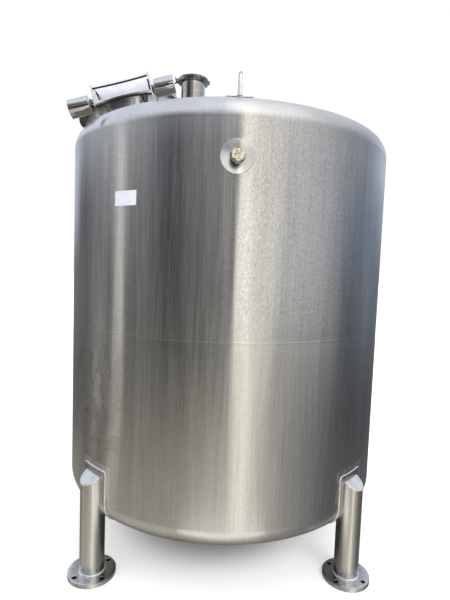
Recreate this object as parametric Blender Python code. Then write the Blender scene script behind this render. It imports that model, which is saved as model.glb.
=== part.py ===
"""Stainless steel storage tank on four pipe legs, with a hinged manway lid.

Metres, +Z up. The tank's axis is the Z axis, the floor is z = 0 and the front
of the tank faces -Y. Azimuth is counted from -Y towards +X.
"""
import math

import bmesh
import bpy
from mathutils import Matrix, Vector

# Tank body
SHELL_R = 0.850          # outside of the round wall
WALL = 0.004             # sheet of the wall and of both heads
Z_LOW = 0.364            # lower tangent line
Z_WELD = 1.158           # girth weld between the two courses
Z_TOP = 2.041            # upper tangent line
CROWN_R = 2.000          # dished heads, outside
KNUCKLE_R = 0.102
GAP = 0.0003             # between pieces that touch
FACETS = 72              # round the tank, a corner every 5 degrees
HEAD_STEPS = (6, 5)      # rows on a head's crown and on its knuckle
SEAMS = (-45, 45, 135, 225)

# Side port
PORT_Z = 1.890
PORT_PAD_R = 0.0675
PORT_PAD_OUT = 0.0065
PORT_SOCKET_R = 0.031
PORT_SOCKET_OUT = 0.024
PORT_BORE_R = 0.022

# Legs
LEG_CIRCLE = 0.854
LEG_AZIMUTHS = (-45, 45, 135, 225)
LEG_R = 0.05715
LEG_WALL = 0.004
CAP_Z = 0.487            # upper edge of the sloping cap, at the wall
CAP_SLOPE = 0.557
CAP_T = 0.0046
PAD_T = 0.004
PAD_HALF_DEG = 5.95
PAD_TOP_Z = 0.517
PAD_CORNER = 0.012
PAD_LOW_R = 0.765        # the pad's lower edge, under the head
FOOT_R = 0.110
FOOT_T = 0.020
FOOT_PCD = 0.178
FOOT_HOLE_R = 0.0105
FOOT_HOLES = 4

# Manway: u along the slope upwards, v along +Y, w square to the dome
MAN_X = -0.555
NECK_R = 0.254
NECK_BORE_R = 0.250
RIM_R = 0.284
RING_W = 0.094           # underside of the neck's ring
RING_T = 0.010
LID_W = 0.1110           # underside of the lid's rim
LID_RIM_T = 0.0147
LID_RISE = 0.042
HINGE_V = -0.335
HINGE_W = 0.062
BARREL_R = 0.04445
BARREL_U = ((-0.2500, -0.1478), (0.1838, 0.2800))
BRACKET_U = ((-0.1475, -0.1415), (0.1775, 0.1835))
CHEEK_U = ((-0.1220, -0.1170), (0.1630, 0.1680))
COVER_U = (-0.1167, 0.1627)
SHAFT_R = 0.010
POST_R = 0.010
BOLT_ANGLES = (-66, 114)
BOLT_R = 0.297
BOLT_W = 0.096

# Top nozzle
NOZZLE_XY = (-0.2045, -0.400)
NOZZLE_R = 0.05715
NOZZLE_WALL = 0.003
FERRULE_R = 0.065
FERRULE_Z = (2.3345, 2.3415)
NOZZLE_CAP_TOP = 2.3500
CLAMP_R = 0.073
CLAMP_Z = (2.331, 2.353)

# Lifting eyes
EYE_RADIUS = 0.730
EYE_AZIMUTHS = (0.4, 180.4)
EYE_PAD_R = 0.0555
EYE_PAD_T = 0.004
EYE_BAR_R = 0.008
EYE_HALF = 0.034
EYE_HEIGHT = 0.095

# Bottom outlet
OUTLET_R = 0.0255
OUTLET_FERRULE_R = 0.032
OUTLET_Z = 0.066
OUTLET_CAP_Z = 0.050

COLOURS = {
    "shell": (0.56, 0.56, 0.55, 1),
    "leg": (0.52, 0.51, 0.49, 1),
    "ground_steel": (0.74, 0.74, 0.75, 1),
    "polished": (0.78, 0.79, 0.80, 1),
    "gasket": (0.05, 0.05, 0.05, 1),
    "knob": (0.02, 0.02, 0.02, 1),
    "plug": (0.78, 0.74, 0.52, 1),
}


def clear():
    for obj in list(bpy.data.objects):
        bpy.data.objects.remove(obj, do_unlink=True)


def collection(name):
    made = bpy.data.collections.new(name)
    bpy.context.scene.collection.children.link(made)
    return made


def polar(radius, degrees, z=0.0):
    a = math.radians(degrees)
    return Vector((radius * math.sin(a), -radius * math.cos(a), z))


def mesh_object(name, verts, faces, slot, where=None):
    """Make one closed object whose faces point out."""
    mesh = bpy.data.meshes.new(name)
    mesh.from_pydata([tuple(v) for v in verts], [], [tuple(f) for f in faces])
    bm = bmesh.new()
    bm.from_mesh(mesh)
    bmesh.ops.remove_doubles(bm, verts=bm.verts, dist=1e-6)
    bmesh.ops.recalc_face_normals(bm, faces=bm.faces)
    bm.to_mesh(mesh)
    bm.free()
    obj = bpy.data.objects.new(name, mesh)
    if slot is None:
        CUTTERS.objects.link(obj)
        obj.hide_render = True
        obj.display_type = "WIRE"
    else:
        PARTS.objects.link(obj)
        mesh.materials.append(material(name, slot))
    if where is not None:
        obj.matrix_world = where
    return obj


def material(name, slot):
    mat = bpy.data.materials.new(name)
    mat.use_nodes = True
    shader = mat.node_tree.nodes["Principled BSDF"]
    shader.inputs["Base Color"].default_value = COLOURS[slot]
    shader.inputs["Metallic"].default_value = 0.0 if slot in ("gasket", "knob", "plug") else 1.0
    shader.inputs["Roughness"].default_value = 0.15 if slot == "polished" else 0.35
    return mat


def empty(name, where):
    obj = bpy.data.objects.new(name, None)
    PARTS.objects.link(obj)
    obj.matrix_world = where
    return obj


def cut(obj, cutter, operation="DIFFERENCE"):
    mod = obj.modifiers.new(operation.title(), "BOOLEAN")
    mod.operation = operation
    mod.solver = "EXACT"
    mod.object = cutter


def revolved(profile, facets, turn=0.0):
    """Turn a closed (radius, height) outline about the local Z axis."""
    verts, faces, rows = [], [], []
    for radius, z in profile:
        if radius < 1e-9:
            rows.append([len(verts)] * facets)
            verts.append((0.0, 0.0, z))
        else:
            rows.append(list(range(len(verts), len(verts) + facets)))
            for i in range(facets):
                verts.append(tuple(polar(radius, turn + 360.0 * i / facets, z)))
    for a, b in zip(rows, rows[1:] + rows[:1]):
        for i in range(facets):
            j = (i + 1) % facets
            face = list(dict.fromkeys((a[i], a[j], b[j], b[i])))
            if len(face) > 2:
                faces.append(face)
    return verts, faces


def head_outline(offset, steps, sign=1):
    """Points of a dished head from its middle to the tangent line, moved out by offset."""
    zc = Z_TOP - math.sqrt((CROWN_R - KNUCKLE_R) ** 2 - (SHELL_R - KNUCKLE_R) ** 2)
    join = math.asin((SHELL_R - KNUCKLE_R) / (CROWN_R - KNUCKLE_R))
    points = []
    for i in range(steps[0] + 1):
        a = join * i / steps[0]
        r = CROWN_R + offset
        points.append((r * math.sin(a), zc + r * math.cos(a)))
    for i in range(1, steps[1] + 1):
        a = join + (math.pi / 2 - join) * i / steps[1]
        r = KNUCKLE_R + offset
        points.append((SHELL_R - KNUCKLE_R + r * math.sin(a), Z_TOP + r * math.cos(a)))
    if sign < 0:
        points = [(r, Z_LOW + Z_TOP - z) for r, z in points]
    return points


def dome_z(radius, offset=0.0):
    zc = Z_TOP - math.sqrt((CROWN_R - KNUCKLE_R) ** 2 - (SHELL_R - KNUCKLE_R) ** 2)
    return zc + math.sqrt((CROWN_R + offset) ** 2 - radius ** 2)


def envelope(name, offset):
    """The whole outside of the tank, moved out by offset, as a cutter."""
    top = head_outline(offset, HEAD_STEPS)
    low = head_outline(offset, HEAD_STEPS, -1)
    verts, faces = revolved(top + low[::-1], FACETS)
    return mesh_object(name, verts, faces, None)


def cylinder(name, radius, z0, z1, facets, slot, where=None, chamfer=0.0):
    if chamfer:
        outline = [(0, z0), (radius - chamfer, z0), (radius, z0 + chamfer),
                   (radius, z1 - chamfer), (radius - chamfer, z1), (0, z1)]
    else:
        outline = [(0, z0), (radius, z0), (radius, z1), (0, z1)]
    verts, faces = revolved(outline, facets)
    return mesh_object(name, verts, faces, slot, where)


def prism(name, outline, x0, x1, slot, where=None):
    """Extrude a closed (y, z) outline along the local X axis."""
    n = len(outline)
    verts = [(x0, y, z) for y, z in outline] + [(x1, y, z) for y, z in outline]
    faces = [tuple(range(n)), tuple(range(2 * n - 1, n - 1, -1))]
    faces += [(i, (i + 1) % n, n + (i + 1) % n, n + i) for i in range(n)]
    return mesh_object(name, verts, faces, slot, where)


def frame_matrix(origin, x, y, z):
    rot = Matrix((x, y, z)).transposed()
    return Matrix.Translation(origin) @ rot.to_4x4()


def shell_course(level, z0, z1):
    """One course of the round wall in four curved sheets."""
    made = []
    half_gap = math.degrees(GAP / 2 / SHELL_R)
    for k, start in enumerate(SEAMS):
        angles = [start + half_gap] + [start + 5 * i for i in range(1, 18)]
        angles.append(start + 90 - half_gap)
        verts, faces = [], []
        for a in angles:
            verts += [polar(SHELL_R, a, z0), polar(SHELL_R, a, z1),
                      polar(SHELL_R - WALL, a, z1), polar(SHELL_R - WALL, a, z0)]
        for i in range(len(angles) - 1):
            b = 4 * i
            faces += [(b + j, b + (j + 1) % 4, b + 4 + (j + 1) % 4, b + 4 + j) for j in range(4)]
        last = 4 * (len(angles) - 1)
        faces += [(3, 2, 1, 0), (last, last + 1, last + 2, last + 3)]
        name = "shell_%s_%s" % (level, ("front", "right", "back", "left")[k])
        made.append(mesh_object(name, verts, faces, "shell"))
    return made


def heads():
    for name, sign in (("top_head", 1), ("bottom_head", -1)):
        outer = head_outline(0.0, HEAD_STEPS, sign)
        inner = head_outline(-WALL, (5, 4), sign)
        verts, faces = revolved(outer + inner[::-1], FACETS)
        yield mesh_object(name, verts, faces, "shell")


def low_outline(offset):
    """Rows of a leg's pad, from its upper edge down and under the head."""
    rows = []
    for dz, pull in ((0.0, 1.0), (0.0035, 0.42), (0.0075, 0.1), (PAD_CORNER, 0.0)):
        rows.append((SHELL_R + offset, PAD_TOP_Z - dz, pull))
    rows.append((SHELL_R + offset, Z_LOW, 0.0))
    head = head_outline(offset, HEAD_STEPS, -1)[::-1]
    turn = HEAD_STEPS[1]
    rows += [(r, z, 0.0) for r, z in head[1:turn + 1]]
    (r0, z0), (r1, z1) = head[turn], head[turn + 1]
    part = (r0 - PAD_LOW_R) / (r0 - r1)
    rows.append((PAD_LOW_R, z0 + part * (z1 - z0), 0.0))
    return rows


def leg_pad(name, azimuth):
    """Curved sheet between a leg and the tank, with rounded upper corners."""
    verts, faces = [], []
    inner, outer = low_outline(GAP), low_outline(GAP + PAD_T)
    corner = math.degrees(PAD_CORNER / SHELL_R)
    for side in (inner, outer):
        for r, z, pull in side:
            half = PAD_HALF_DEG - corner * pull
            for a in (-half, -5, 0, 5, half):
                verts.append(polar(r, azimuth + a, z))
    rows = len(inner)
    size = rows * 5
    for base in (0, size):
        for i in range(rows - 1):
            for j in range(4):
                b = base + 5 * i + j
                faces.append((b, b + 1, b + 6, b + 5))
    edge = [j for j in range(5)] + [5 * i + 4 for i in range(1, rows)]
    edge += [5 * (rows - 1) + j for j in (3, 2, 1, 0)] + [5 * i for i in range(rows - 2, 0, -1)]
    for a, b in zip(edge, edge[1:] + edge[:1]):
        faces.append((a, b, size + b, size + a))
    return mesh_object(name, verts, faces, "leg")


def sheared(name, rings, facets, slot, where):
    """Tube or disc whose rings (radius, height, slope) may lean outwards."""
    verts, faces = [], []
    for radius, z, slope in rings:
        for i in range(facets):
            p = polar(radius, 360.0 * i / facets)
            verts.append((p.x, p.y, z + slope * p.y))
    for k in range(len(rings)):
        n = (k + 1) % len(rings)
        for i in range(facets):
            j = (i + 1) % facets
            faces.append((k * facets + i, k * facets + j, n * facets + j, n * facets + i))
    return mesh_object(name, verts, faces, slot, where)


def leg(index, azimuth, tank_and_pad):
    tag = ("front_left", "front_right", "back_right", "back_left")[index]
    where = Matrix.Translation(polar(LEG_CIRCLE, azimuth)) @ Matrix.Rotation(
        math.radians(azimuth), 4, "Z")
    leg_pad("leg_pad_" + tag, azimuth)
    low = FOOT_T + GAP
    under = CAP_Z - CAP_T - GAP
    pipe = sheared("leg_pipe_" + tag, [
        (LEG_R, low, 0), (LEG_R, under, CAP_SLOPE),
        (LEG_R - LEG_WALL, under, CAP_SLOPE), (LEG_R - LEG_WALL, low, 0)], 32, "leg", where)
    cut(pipe, tank_and_pad)
    top, bottom = [], []
    for i in range(32):
        p = polar(LEG_R, 360.0 * i / 32)
        top.append((p.x, p.y, CAP_Z + CAP_SLOPE * p.y))
        bottom.append((p.x, p.y, CAP_Z - CAP_T + CAP_SLOPE * p.y))
    faces = [tuple(range(31, -1, -1)), tuple(range(32, 64))]
    faces += [(i, (i + 1) % 32, 32 + (i + 1) % 32, 32 + i) for i in range(32)]
    cap = mesh_object("leg_cap_" + tag, top + bottom, faces, "ground_steel", where)
    cut(cap, tank_and_pad)
    foot(tag, where)


def foot(tag, where):
    """Round base plate with its bolt holes and the weld ring round the pipe."""
    inside = LEG_R + GAP
    outline = [(0, 0), (FOOT_R, 0), (FOOT_R, FOOT_T), (inside + 0.009, FOOT_T),
               (inside + 0.002, FOOT_T + 0.008), (inside, FOOT_T + 0.008),
               (inside, FOOT_T), (0, FOOT_T)]
    verts, faces = revolved(outline, 48)
    plate = mesh_object("foot_flange_" + tag, verts, faces, "leg", where)
    verts, faces = [], []
    for k in range(FOOT_HOLES):
        v, f = revolved([(0, -0.01), (FOOT_HOLE_R, -0.01), (FOOT_HOLE_R, 0.03), (0, 0.03)], 16)
        centre = polar(FOOT_PCD / 2, 360.0 * k / FOOT_HOLES)
        faces += [[i + len(verts) for i in face] for face in f]
        verts += [(x + centre.x, y + centre.y, z) for x, y, z in v]
    cut(plate, mesh_object("foot_holes_" + tag, verts, faces, None, where))


def side_port(tank):
    """Flat round pad with a short socket, and the plug pressed in it."""
    where = Matrix.Translation((0, -SHELL_R, PORT_Z)) @ Matrix.Rotation(math.pi / 2, 4, "X")
    outline = [(PORT_BORE_R, -0.006), (PORT_PAD_R, -0.006), (PORT_PAD_R, PORT_PAD_OUT),
               (PORT_SOCKET_R, PORT_PAD_OUT), (PORT_SOCKET_R, PORT_SOCKET_OUT),
               (PORT_BORE_R, PORT_SOCKET_OUT)]
    verts, faces = revolved(outline, 40)
    boss = mesh_object("port_boss", verts, faces, "ground_steel", where)
    cut(boss, tank)
    plug = [(0, 0.002), (PORT_BORE_R - 0.0006, 0.002), (PORT_BORE_R - 0.0003, PORT_SOCKET_OUT),
            (0.0265, PORT_SOCKET_OUT + GAP), (0.0275, 0.029), (0.0255, 0.0325), (0, 0.034)]
    verts, faces = revolved(plug, 32)
    mesh_object("port_plug", verts, faces, "plug", where)
    return where


def lifting_eye(index, azimuth, tank):
    """Round pad square to the dome with a bent bar standing on it, in a radial plane."""
    tag = ("front", "back")[index]
    out = polar(1, azimuth)
    lean = math.asin(EYE_RADIUS / CROWN_R)
    normal = out * math.sin(lean) + Vector((0, 0, math.cos(lean)))
    along = out * math.cos(lean) - Vector((0, 0, math.sin(lean)))
    across = normal.cross(along)
    where = frame_matrix(polar(EYE_RADIUS, azimuth, dome_z(EYE_RADIUS)), along, across, normal)
    pad = cylinder("eye_pad_" + tag, EYE_PAD_R, -0.006, EYE_PAD_T, 32, "ground_steel", where)
    cut(pad, tank)
    path = [(EYE_HALF, EYE_PAD_T + GAP)]
    bend = EYE_HEIGHT - EYE_BAR_R - EYE_HALF
    for i in range(9):
        a = math.pi * i / 8
        path.append((EYE_HALF * math.cos(a), bend + EYE_HALF * math.sin(a)))
    path.append((-EYE_HALF, EYE_PAD_T + GAP))
    verts, faces = [], []
    for i, (x, z) in enumerate(path):
        a = math.pi * min(max(i - 1, 0), 8) / 8
        side = Vector((math.cos(a), 0, math.sin(a)))
        for k in range(12):
            t = 2 * math.pi * k / 12
            p = Vector((x, 0, z)) + EYE_BAR_R * (math.cos(t) * side + math.sin(t) * Vector((0, 1, 0)))
            verts.append(p)
    n = len(path)
    for i in range(n - 1):
        for k in range(12):
            j = (k + 1) % 12
            faces.append((12 * i + k, 12 * i + j, 12 * i + 12 + j, 12 * i + 12 + k))
    faces += [tuple(range(11, -1, -1)), tuple(range(12 * n - 12, 12 * n))]
    mesh_object("eye_bar_" + tag, verts, faces, "polished", where)


def nozzle(tank):
    """Short pipe on the dome closed by a cap and a clamp ring."""
    where = Matrix.Translation((NOZZLE_XY[0], NOZZLE_XY[1], 0))
    low = dome_z(math.hypot(*NOZZLE_XY)) - 0.06
    bore = NOZZLE_R - NOZZLE_WALL
    outline = [(NOZZLE_R, low), (NOZZLE_R, FERRULE_Z[0]), (FERRULE_R, FERRULE_Z[0]),
               (FERRULE_R, FERRULE_Z[1]), (bore, FERRULE_Z[1]), (bore, low)]
    verts, faces = revolved(outline, 40)
    pipe = mesh_object("nozzle_pipe", verts, faces, "polished", where)
    cut(pipe, tank)
    z0, z1 = FERRULE_Z[1] + GAP, NOZZLE_CAP_TOP
    cylinder("nozzle_cap", FERRULE_R, z0, z1, 40, "polished", where)
    lip, inside = 0.060, FERRULE_R + GAP
    outline = [(lip, CLAMP_Z[0]), (CLAMP_R - 0.002, CLAMP_Z[0]), (CLAMP_R, CLAMP_Z[0] + 0.004),
               (CLAMP_R, CLAMP_Z[1] - 0.004), (CLAMP_R - 0.002, CLAMP_Z[1]), (lip, CLAMP_Z[1]),
               (lip, z1 + GAP), (inside, z1 + GAP), (inside, FERRULE_Z[0] - GAP),
               (lip, FERRULE_Z[0] - GAP)]
    verts, faces = revolved(outline, 40)
    mesh_object("nozzle_clamp", verts, faces, "polished", where)
    middle = (CLAMP_Z[0] + CLAMP_Z[1]) / 2
    out = Vector((-math.cos(math.radians(3)), -math.sin(math.radians(3)), 0))
    side = Vector((0, 0, 1)).cross(out)
    start = Vector((NOZZLE_XY[0], NOZZLE_XY[1], middle)) + out * (CLAMP_R + GAP)
    axis = frame_matrix(start, side, out.cross(side), out)
    bolt = cylinder("nozzle_clamp_bolt", 0.005, 0.0, 0.011, 16, "polished", axis)
    wing = [(-0.0155, 0.011), (-0.0150, 0.0155), (-0.005, 0.0085), (0.005, 0.0085),
            (0.0150, 0.0155), (0.0155, 0.011), (0.006, 0.003), (-0.006, 0.003)]
    cut(bolt, prism("nozzle_wing", wing, -0.0025, 0.0025, None, axis), "UNION")


def manway_frame():
    lean = math.asin(-MAN_X / CROWN_R)
    ex = Vector((math.cos(lean), 0, math.sin(lean)))
    n = Vector((-math.sin(lean), 0, math.cos(lean)))
    return frame_matrix(Vector((MAN_X, 0, dome_z(MAN_X))), ex, Vector((0, 1, 0)), n)


def manway(tank, man):
    ring_top = RING_W + RING_T
    outline = [(NECK_R, -0.09), (NECK_R, RING_W), (RIM_R, RING_W), (RIM_R, ring_top),
               (NECK_BORE_R, ring_top), (NECK_BORE_R, -0.09)]
    verts, faces = revolved(outline, 64)
    neck = mesh_object("manway_neck", verts, faces, "polished", man)
    cut(neck, tank)
    low, high = ring_top + GAP, LID_W - GAP
    verts, faces = revolved([(0.254, low), (0.278, low), (0.278, high), (0.254, high)], 48)
    mesh_object("manway_gasket", verts, faces, "gasket", man)
    for k, v in enumerate((-0.262, 0.262)):
        at = man @ Matrix.Translation((-0.065, v, 0))
        post = cylinder("neck_post_" + ("front", "back")[k], POST_R, -0.06, RING_W - GAP, 16,
                        "polished", at)
        cut(post, tank)


def lid(man):
    """Dished lid on a parent at the hinge axis, with its cover and cheeks."""
    axis = empty("lid_axis", man @ Matrix.Translation((0, HINGE_V, HINGE_W)))
    centre = Matrix.Translation((0, -HINGE_V, -HINGE_W))
    top = LID_W + LID_RIM_T
    dish = [(0.0, 1.0), (0.07, 0.93), (0.13, 0.74), (0.18, 0.46), (0.215, 0.20), (0.240, 0.0)]
    outer = [(r, top + LID_RISE * f) for r, f in dish]
    inner = [(r * 0.985, top + LID_RISE * f - 0.004) for r, f in dish]
    inner[-1] = (0.2365, LID_W)
    outline = outer + [(RIM_R, top), (RIM_R, LID_W)] + inner[::-1]
    verts, faces = revolved(outline, 64)
    parts = [mesh_object("lid", verts, faces, "polished", centre)]
    parts.append(cover())
    for k, (u0, u1) in enumerate(CHEEK_U):
        outline = [(-0.0445, -0.026), (0.030, -0.026), (0.045, 0.032), (0.075, 0.0637),
                   (-0.0215, 0.0637)]
        cheek = prism("lid_cheek_" + ("left", "right")[k], outline, u0, u1, "polished")
        bore = cylinder("cheek_bore_" + str(k), SHAFT_R + 0.0005, u0 - 0.01, u1 + 0.01, 32, None,
                        Matrix.Rotation(math.pi / 2, 4, "Y"))
        cut(cheek, bore)
        bore.parent = axis
        parts.append(cheek)
    parts.append(handle(top))
    for part in parts:
        part.parent = axis


def cover():
    """Folded sheet over the hinge, narrower in its middle."""
    verts, faces = [], []
    n = 8
    for i in range(n + 1):
        u = COVER_U[0] + (COVER_U[1] - COVER_U[0]) * i / n
        bow = 1 - (2 * i / n - 1) ** 2
        low, high = -0.027 + 0.013 * bow, 0.068 - 0.005 * bow
        verts += [(u, -0.050, low), (u, -0.027, high), (u, 0.045, 0.068), (u, 0.090, 0.068),
                  (u, 0.090, 0.064), (u, 0.045, 0.064), (u, -0.023, high - 0.004),
                  (u, -0.046, low)]
    for i in range(n):
        b = 8 * i
        faces += [(b + j, b + (j + 1) % 8, b + 8 + (j + 1) % 8, b + 8 + j) for j in range(8)]
    faces += [tuple(range(7, -1, -1)), tuple(range(8 * n, 8 * n + 8))]
    return mesh_object("lid_cover", verts, faces, "polished")


def handle(top):
    """Bent bar on the free side of the lid's rim."""
    path = []
    low, high, half = top + GAP, top + 0.045, 0.070
    for i in range(5):
        a = math.pi / 2 * i / 4
        path.append((half - 0.018 + 0.018 * math.cos(a), high - 0.018 + 0.018 * math.sin(a), a))
    path = [(half, low, 0.0)] + path
    path += [(-x, z, math.pi - a) for x, z, a in path[::-1]]
    verts, faces = [], []
    for x, z, a in path:
        side = Vector((math.cos(a), 0, math.sin(a)))
        for k in range(10):
            t = 2 * math.pi * k / 10
            verts.append(Vector((x, 0.262 - HINGE_V, z - HINGE_W))
                         + 0.007 * (math.cos(t) * side + math.sin(t) * Vector((0, 1, 0))))
    n = len(path)
    for i in range(n - 1):
        for k in range(10):
            j = (k + 1) % 10
            faces.append((10 * i + k, 10 * i + j, 10 * i + 10 + j, 10 * i + 10 + k))
    faces += [tuple(range(9, -1, -1)), tuple(range(10 * n - 10, 10 * n))]
    return mesh_object("lid_handle", verts, faces, "polished")


def hinge(tank, man):
    """Fixed side of the hinge: two spring barrels, their brackets and the shaft."""
    at = man @ Matrix.Translation((0, HINGE_V, HINGE_W))
    along = at @ Matrix.Rotation(math.pi / 2, 4, "Y")
    for k, tag in enumerate(("left", "right")):
        u0, u1 = BARREL_U[k]
        cylinder("hinge_barrel_" + tag, BARREL_R, u0, u1, 32, "polished", along, 0.005)
        outline = [(-0.030, -0.16), (-0.034, 0.0)]
        outline += [(-0.034 * math.cos(math.pi * i / 8), 0.034 * math.sin(math.pi * i / 8))
                    for i in range(1, 8)]
        outline += [(0.034, 0.0), (0.030, -0.16)]
        u0, u1 = BRACKET_U[k]
        bracket = prism("hinge_bracket_" + tag, outline, u0, u1, "polished", at)
        cut(bracket, tank)
    cylinder("hinge_shaft", SHAFT_R, BRACKET_U[0][1] + GAP, BRACKET_U[1][0] - GAP, 32,
             "polished", along)


def swing_bolt(index, degrees, man):
    """Eye bolt hanging from a lug on the neck's ring, with a hand knob."""
    tag = ("front", "back")[index]
    a = math.radians(degrees)
    rot = man.to_3x3()
    out = rot @ Vector((math.cos(a), math.sin(a), 0))
    along = rot @ Vector((math.sin(a), -math.cos(a), 0))
    pivot = man @ Vector((BOLT_R * math.cos(a), BOLT_R * math.sin(a), BOLT_W))
    up_n = rot @ Vector((0, 0, 1))
    lug_at = frame_matrix(pivot, along, up_n.cross(along), up_n)
    back = -1 if lug_at.to_3x3().col[1].dot(out) > 0 else 1
    inner = back * (BOLT_R - RIM_R - GAP)
    ears = [(inner, -0.007), (inner, 0.007), (-back * 0.008, 0.007), (-back * 0.008, -0.007)]
    lug = prism("bolt_lug_" + tag, ears, -0.0115, -0.0065, "polished", lug_at)
    cut(lug, prism("ear_" + tag, ears, 0.0065, 0.0115, None, lug_at), "UNION")
    root = [(inner, -0.007), (inner, 0.007), (inner - back * 0.0025, 0.007),
            (inner - back * 0.0025, -0.007)]
    cut(lug, prism("lug_root_" + tag, root, -0.0115, 0.0115, None, lug_at), "UNION")
    pin_at = lug_at @ Matrix.Rotation(math.pi / 2, 4, "Y")
    cut(lug, cylinder("lug_pin_" + tag, 0.0035, -0.009, 0.009, 16, None, pin_at), "UNION")

    up = Vector((0, 0, 1)) - along * along.z
    up.normalize()
    axis = empty("bolt_axis_" + tag, frame_matrix(pivot, along, up.cross(along), up))
    outline = [(0.0075 * math.cos(2 * math.pi * i / 16), 0.0075 * math.sin(2 * math.pi * i / 16))
               for i in range(16)]
    bolt = prism("swing_bolt_" + tag, outline, -0.0055, 0.0055, "polished")
    shank = cylinder("bolt_shank_" + tag, 0.004, -0.0210 - GAP, -0.0055, 16, None)
    cut(bolt, shank, "UNION")
    eye = cylinder("bolt_eye_" + tag, 0.0042, -0.02, 0.02, 16, None,
                   Matrix.Rotation(math.pi / 2, 4, "Y"))
    cut(bolt, eye)
    knob = [(0, -0.064), (0.0120, -0.064), (0.0140, -0.062), (0.0185, -0.030), (0.0190, -0.024),
            (0.0175, -0.0215), (0, -0.0215)]
    verts, faces = revolved(knob, 24)
    hand = mesh_object("bolt_knob_" + tag, verts, faces, "knob")
    for part in (bolt, shank, eye, hand):
        part.parent = axis


def outlet(tank):
    """Stub under the bottom head with a blank cap."""
    bore = OUTLET_R - 0.0025
    high = Z_LOW + Z_TOP - dome_z(0) + 0.02
    outline = [(OUTLET_R, high), (OUTLET_R, OUTLET_Z + 0.004), (OUTLET_FERRULE_R, OUTLET_Z + 0.003),
               (OUTLET_FERRULE_R, OUTLET_Z), (bore, OUTLET_Z), (bore, high)]
    verts, faces = revolved(outline, 24)
    stub = mesh_object("outlet_stub", verts, faces, "polished")
    cut(stub, tank)
    cylinder("outlet_cap", OUTLET_FERRULE_R, OUTLET_CAP_Z, OUTLET_Z - GAP, 24, "polished",
             None, 0.002)


def openings(sheets, top, bottom, man, port_at):
    """Cut the port, the manway, the nozzle and the outlet through the sheet."""
    cut(sheets[0], cylinder("port_hole", PORT_BORE_R, -0.03, 0.03, 24, None, port_at))
    cut(top, cylinder("manway_hole", NECK_BORE_R, -0.12, 0.08, 64, None, man))
    at = Matrix.Translation((NOZZLE_XY[0], NOZZLE_XY[1], 2.2))
    cut(top, cylinder("nozzle_hole", NOZZLE_R - NOZZLE_WALL, -0.1, 0.1, 40, None, at))
    cut(bottom, cylinder("outlet_hole", OUTLET_R - 0.0025, 0.05, 0.2, 24, None))


clear()
PARTS = collection("stainless_steel_tank")
CUTTERS = collection("cutters")
TANK = envelope("tank_outside", GAP)
TANK_AND_PAD = envelope("tank_and_pad_outside", 2 * GAP + PAD_T)
MAN = manway_frame()
shell_course("lower", Z_LOW + GAP / 2, Z_WELD - GAP / 2)
UPPER = shell_course("upper", Z_WELD + GAP / 2, Z_TOP - GAP / 2)
TOP, BOTTOM = heads()
TOP.location.z += GAP / 2
BOTTOM.location.z -= GAP / 2
PORT = side_port(TANK)
openings(UPPER, TOP, BOTTOM, MAN, PORT)
for number, angle in enumerate(LEG_AZIMUTHS):
    leg(number, angle, TANK_AND_PAD)
for number, angle in enumerate(EYE_AZIMUTHS):
    lifting_eye(number, angle, TANK)
nozzle(TANK)
manway(TANK, MAN)
lid(MAN)
hinge(TANK, MAN)
for number, angle in enumerate(BOLT_ANGLES):
    swing_bolt(number, angle, MAN)
outlet(TANK)
CUTTERS.hide_render = True
bpy.context.view_layer.update()
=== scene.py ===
# %% [markdown]
# # A stainless steel tank, dressed for its picture
# The CAD frame gives every part its true place and size. This file lays a finer skin over it:
# smooth rolled sheet, dished ends, welds, mirror-polished fittings and brushed grain.
# Almost every part of a tank is either turned about an axis or carried along a path, so two
# or three surface functions make nearly all of it. Units are metres, +Z is up, the front is -Y.

import math

import bmesh
import bpy
import numpy as np
from mathutils import Matrix


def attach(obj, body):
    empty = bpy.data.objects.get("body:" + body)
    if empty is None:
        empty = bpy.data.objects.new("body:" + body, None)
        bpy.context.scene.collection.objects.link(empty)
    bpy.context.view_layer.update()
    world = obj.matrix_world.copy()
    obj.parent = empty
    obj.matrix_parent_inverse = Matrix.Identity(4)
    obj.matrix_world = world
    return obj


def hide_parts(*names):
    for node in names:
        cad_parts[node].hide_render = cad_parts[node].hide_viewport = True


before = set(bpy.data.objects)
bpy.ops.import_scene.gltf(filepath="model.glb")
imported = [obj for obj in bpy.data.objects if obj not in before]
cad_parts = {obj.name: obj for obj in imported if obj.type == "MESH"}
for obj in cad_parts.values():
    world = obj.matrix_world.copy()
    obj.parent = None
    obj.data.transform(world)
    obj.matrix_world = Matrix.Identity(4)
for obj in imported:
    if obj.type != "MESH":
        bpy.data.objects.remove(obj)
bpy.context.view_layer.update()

# %% [markdown]
# ## The main sizes
# These are the same values as in the part's source. The wall is 1700 mm across. Both ends are
# dished: a shallow crown of 2 m radius that turns into the wall through a knuckle of 102 mm.

# %% Sizes and frames
SHELL_R, WALL = 0.850, 0.004
Z_LOW, Z_WELD, Z_TOP = 0.364, 1.158, 2.041
CROWN_R, KNUCKLE_R = 2.000, 0.102
LEG_CIRCLE, PORT_Z, DN100_R = 0.854, 1.890, 0.05715
MANWAY_OFF = 0.555
BORE_R, NECK_R, FLANGE_R = 0.250, 0.254, 0.284
FLANGE_LOW, FLANGE_HIGH = 0.094, 0.104
TAU = 2 * np.pi
deg = math.radians


def vec(*numbers):
    return np.array(numbers, float)


def frame_at(origin, x, y, z):
    """A local frame: its origin and its three unit axes, as plain arrays."""
    return {"o": np.asarray(origin, float), "x": np.asarray(x, float),
            "y": np.asarray(y, float), "z": np.asarray(z, float)}


def place(at, local):
    """World place of local points: origin + x*X + y*Y + z*Z."""
    local = np.asarray(local, float)
    return (at["o"] + local[..., 0:1] * at["x"] + local[..., 1:2] * at["y"]
            + local[..., 2:3] * at["z"])


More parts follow.
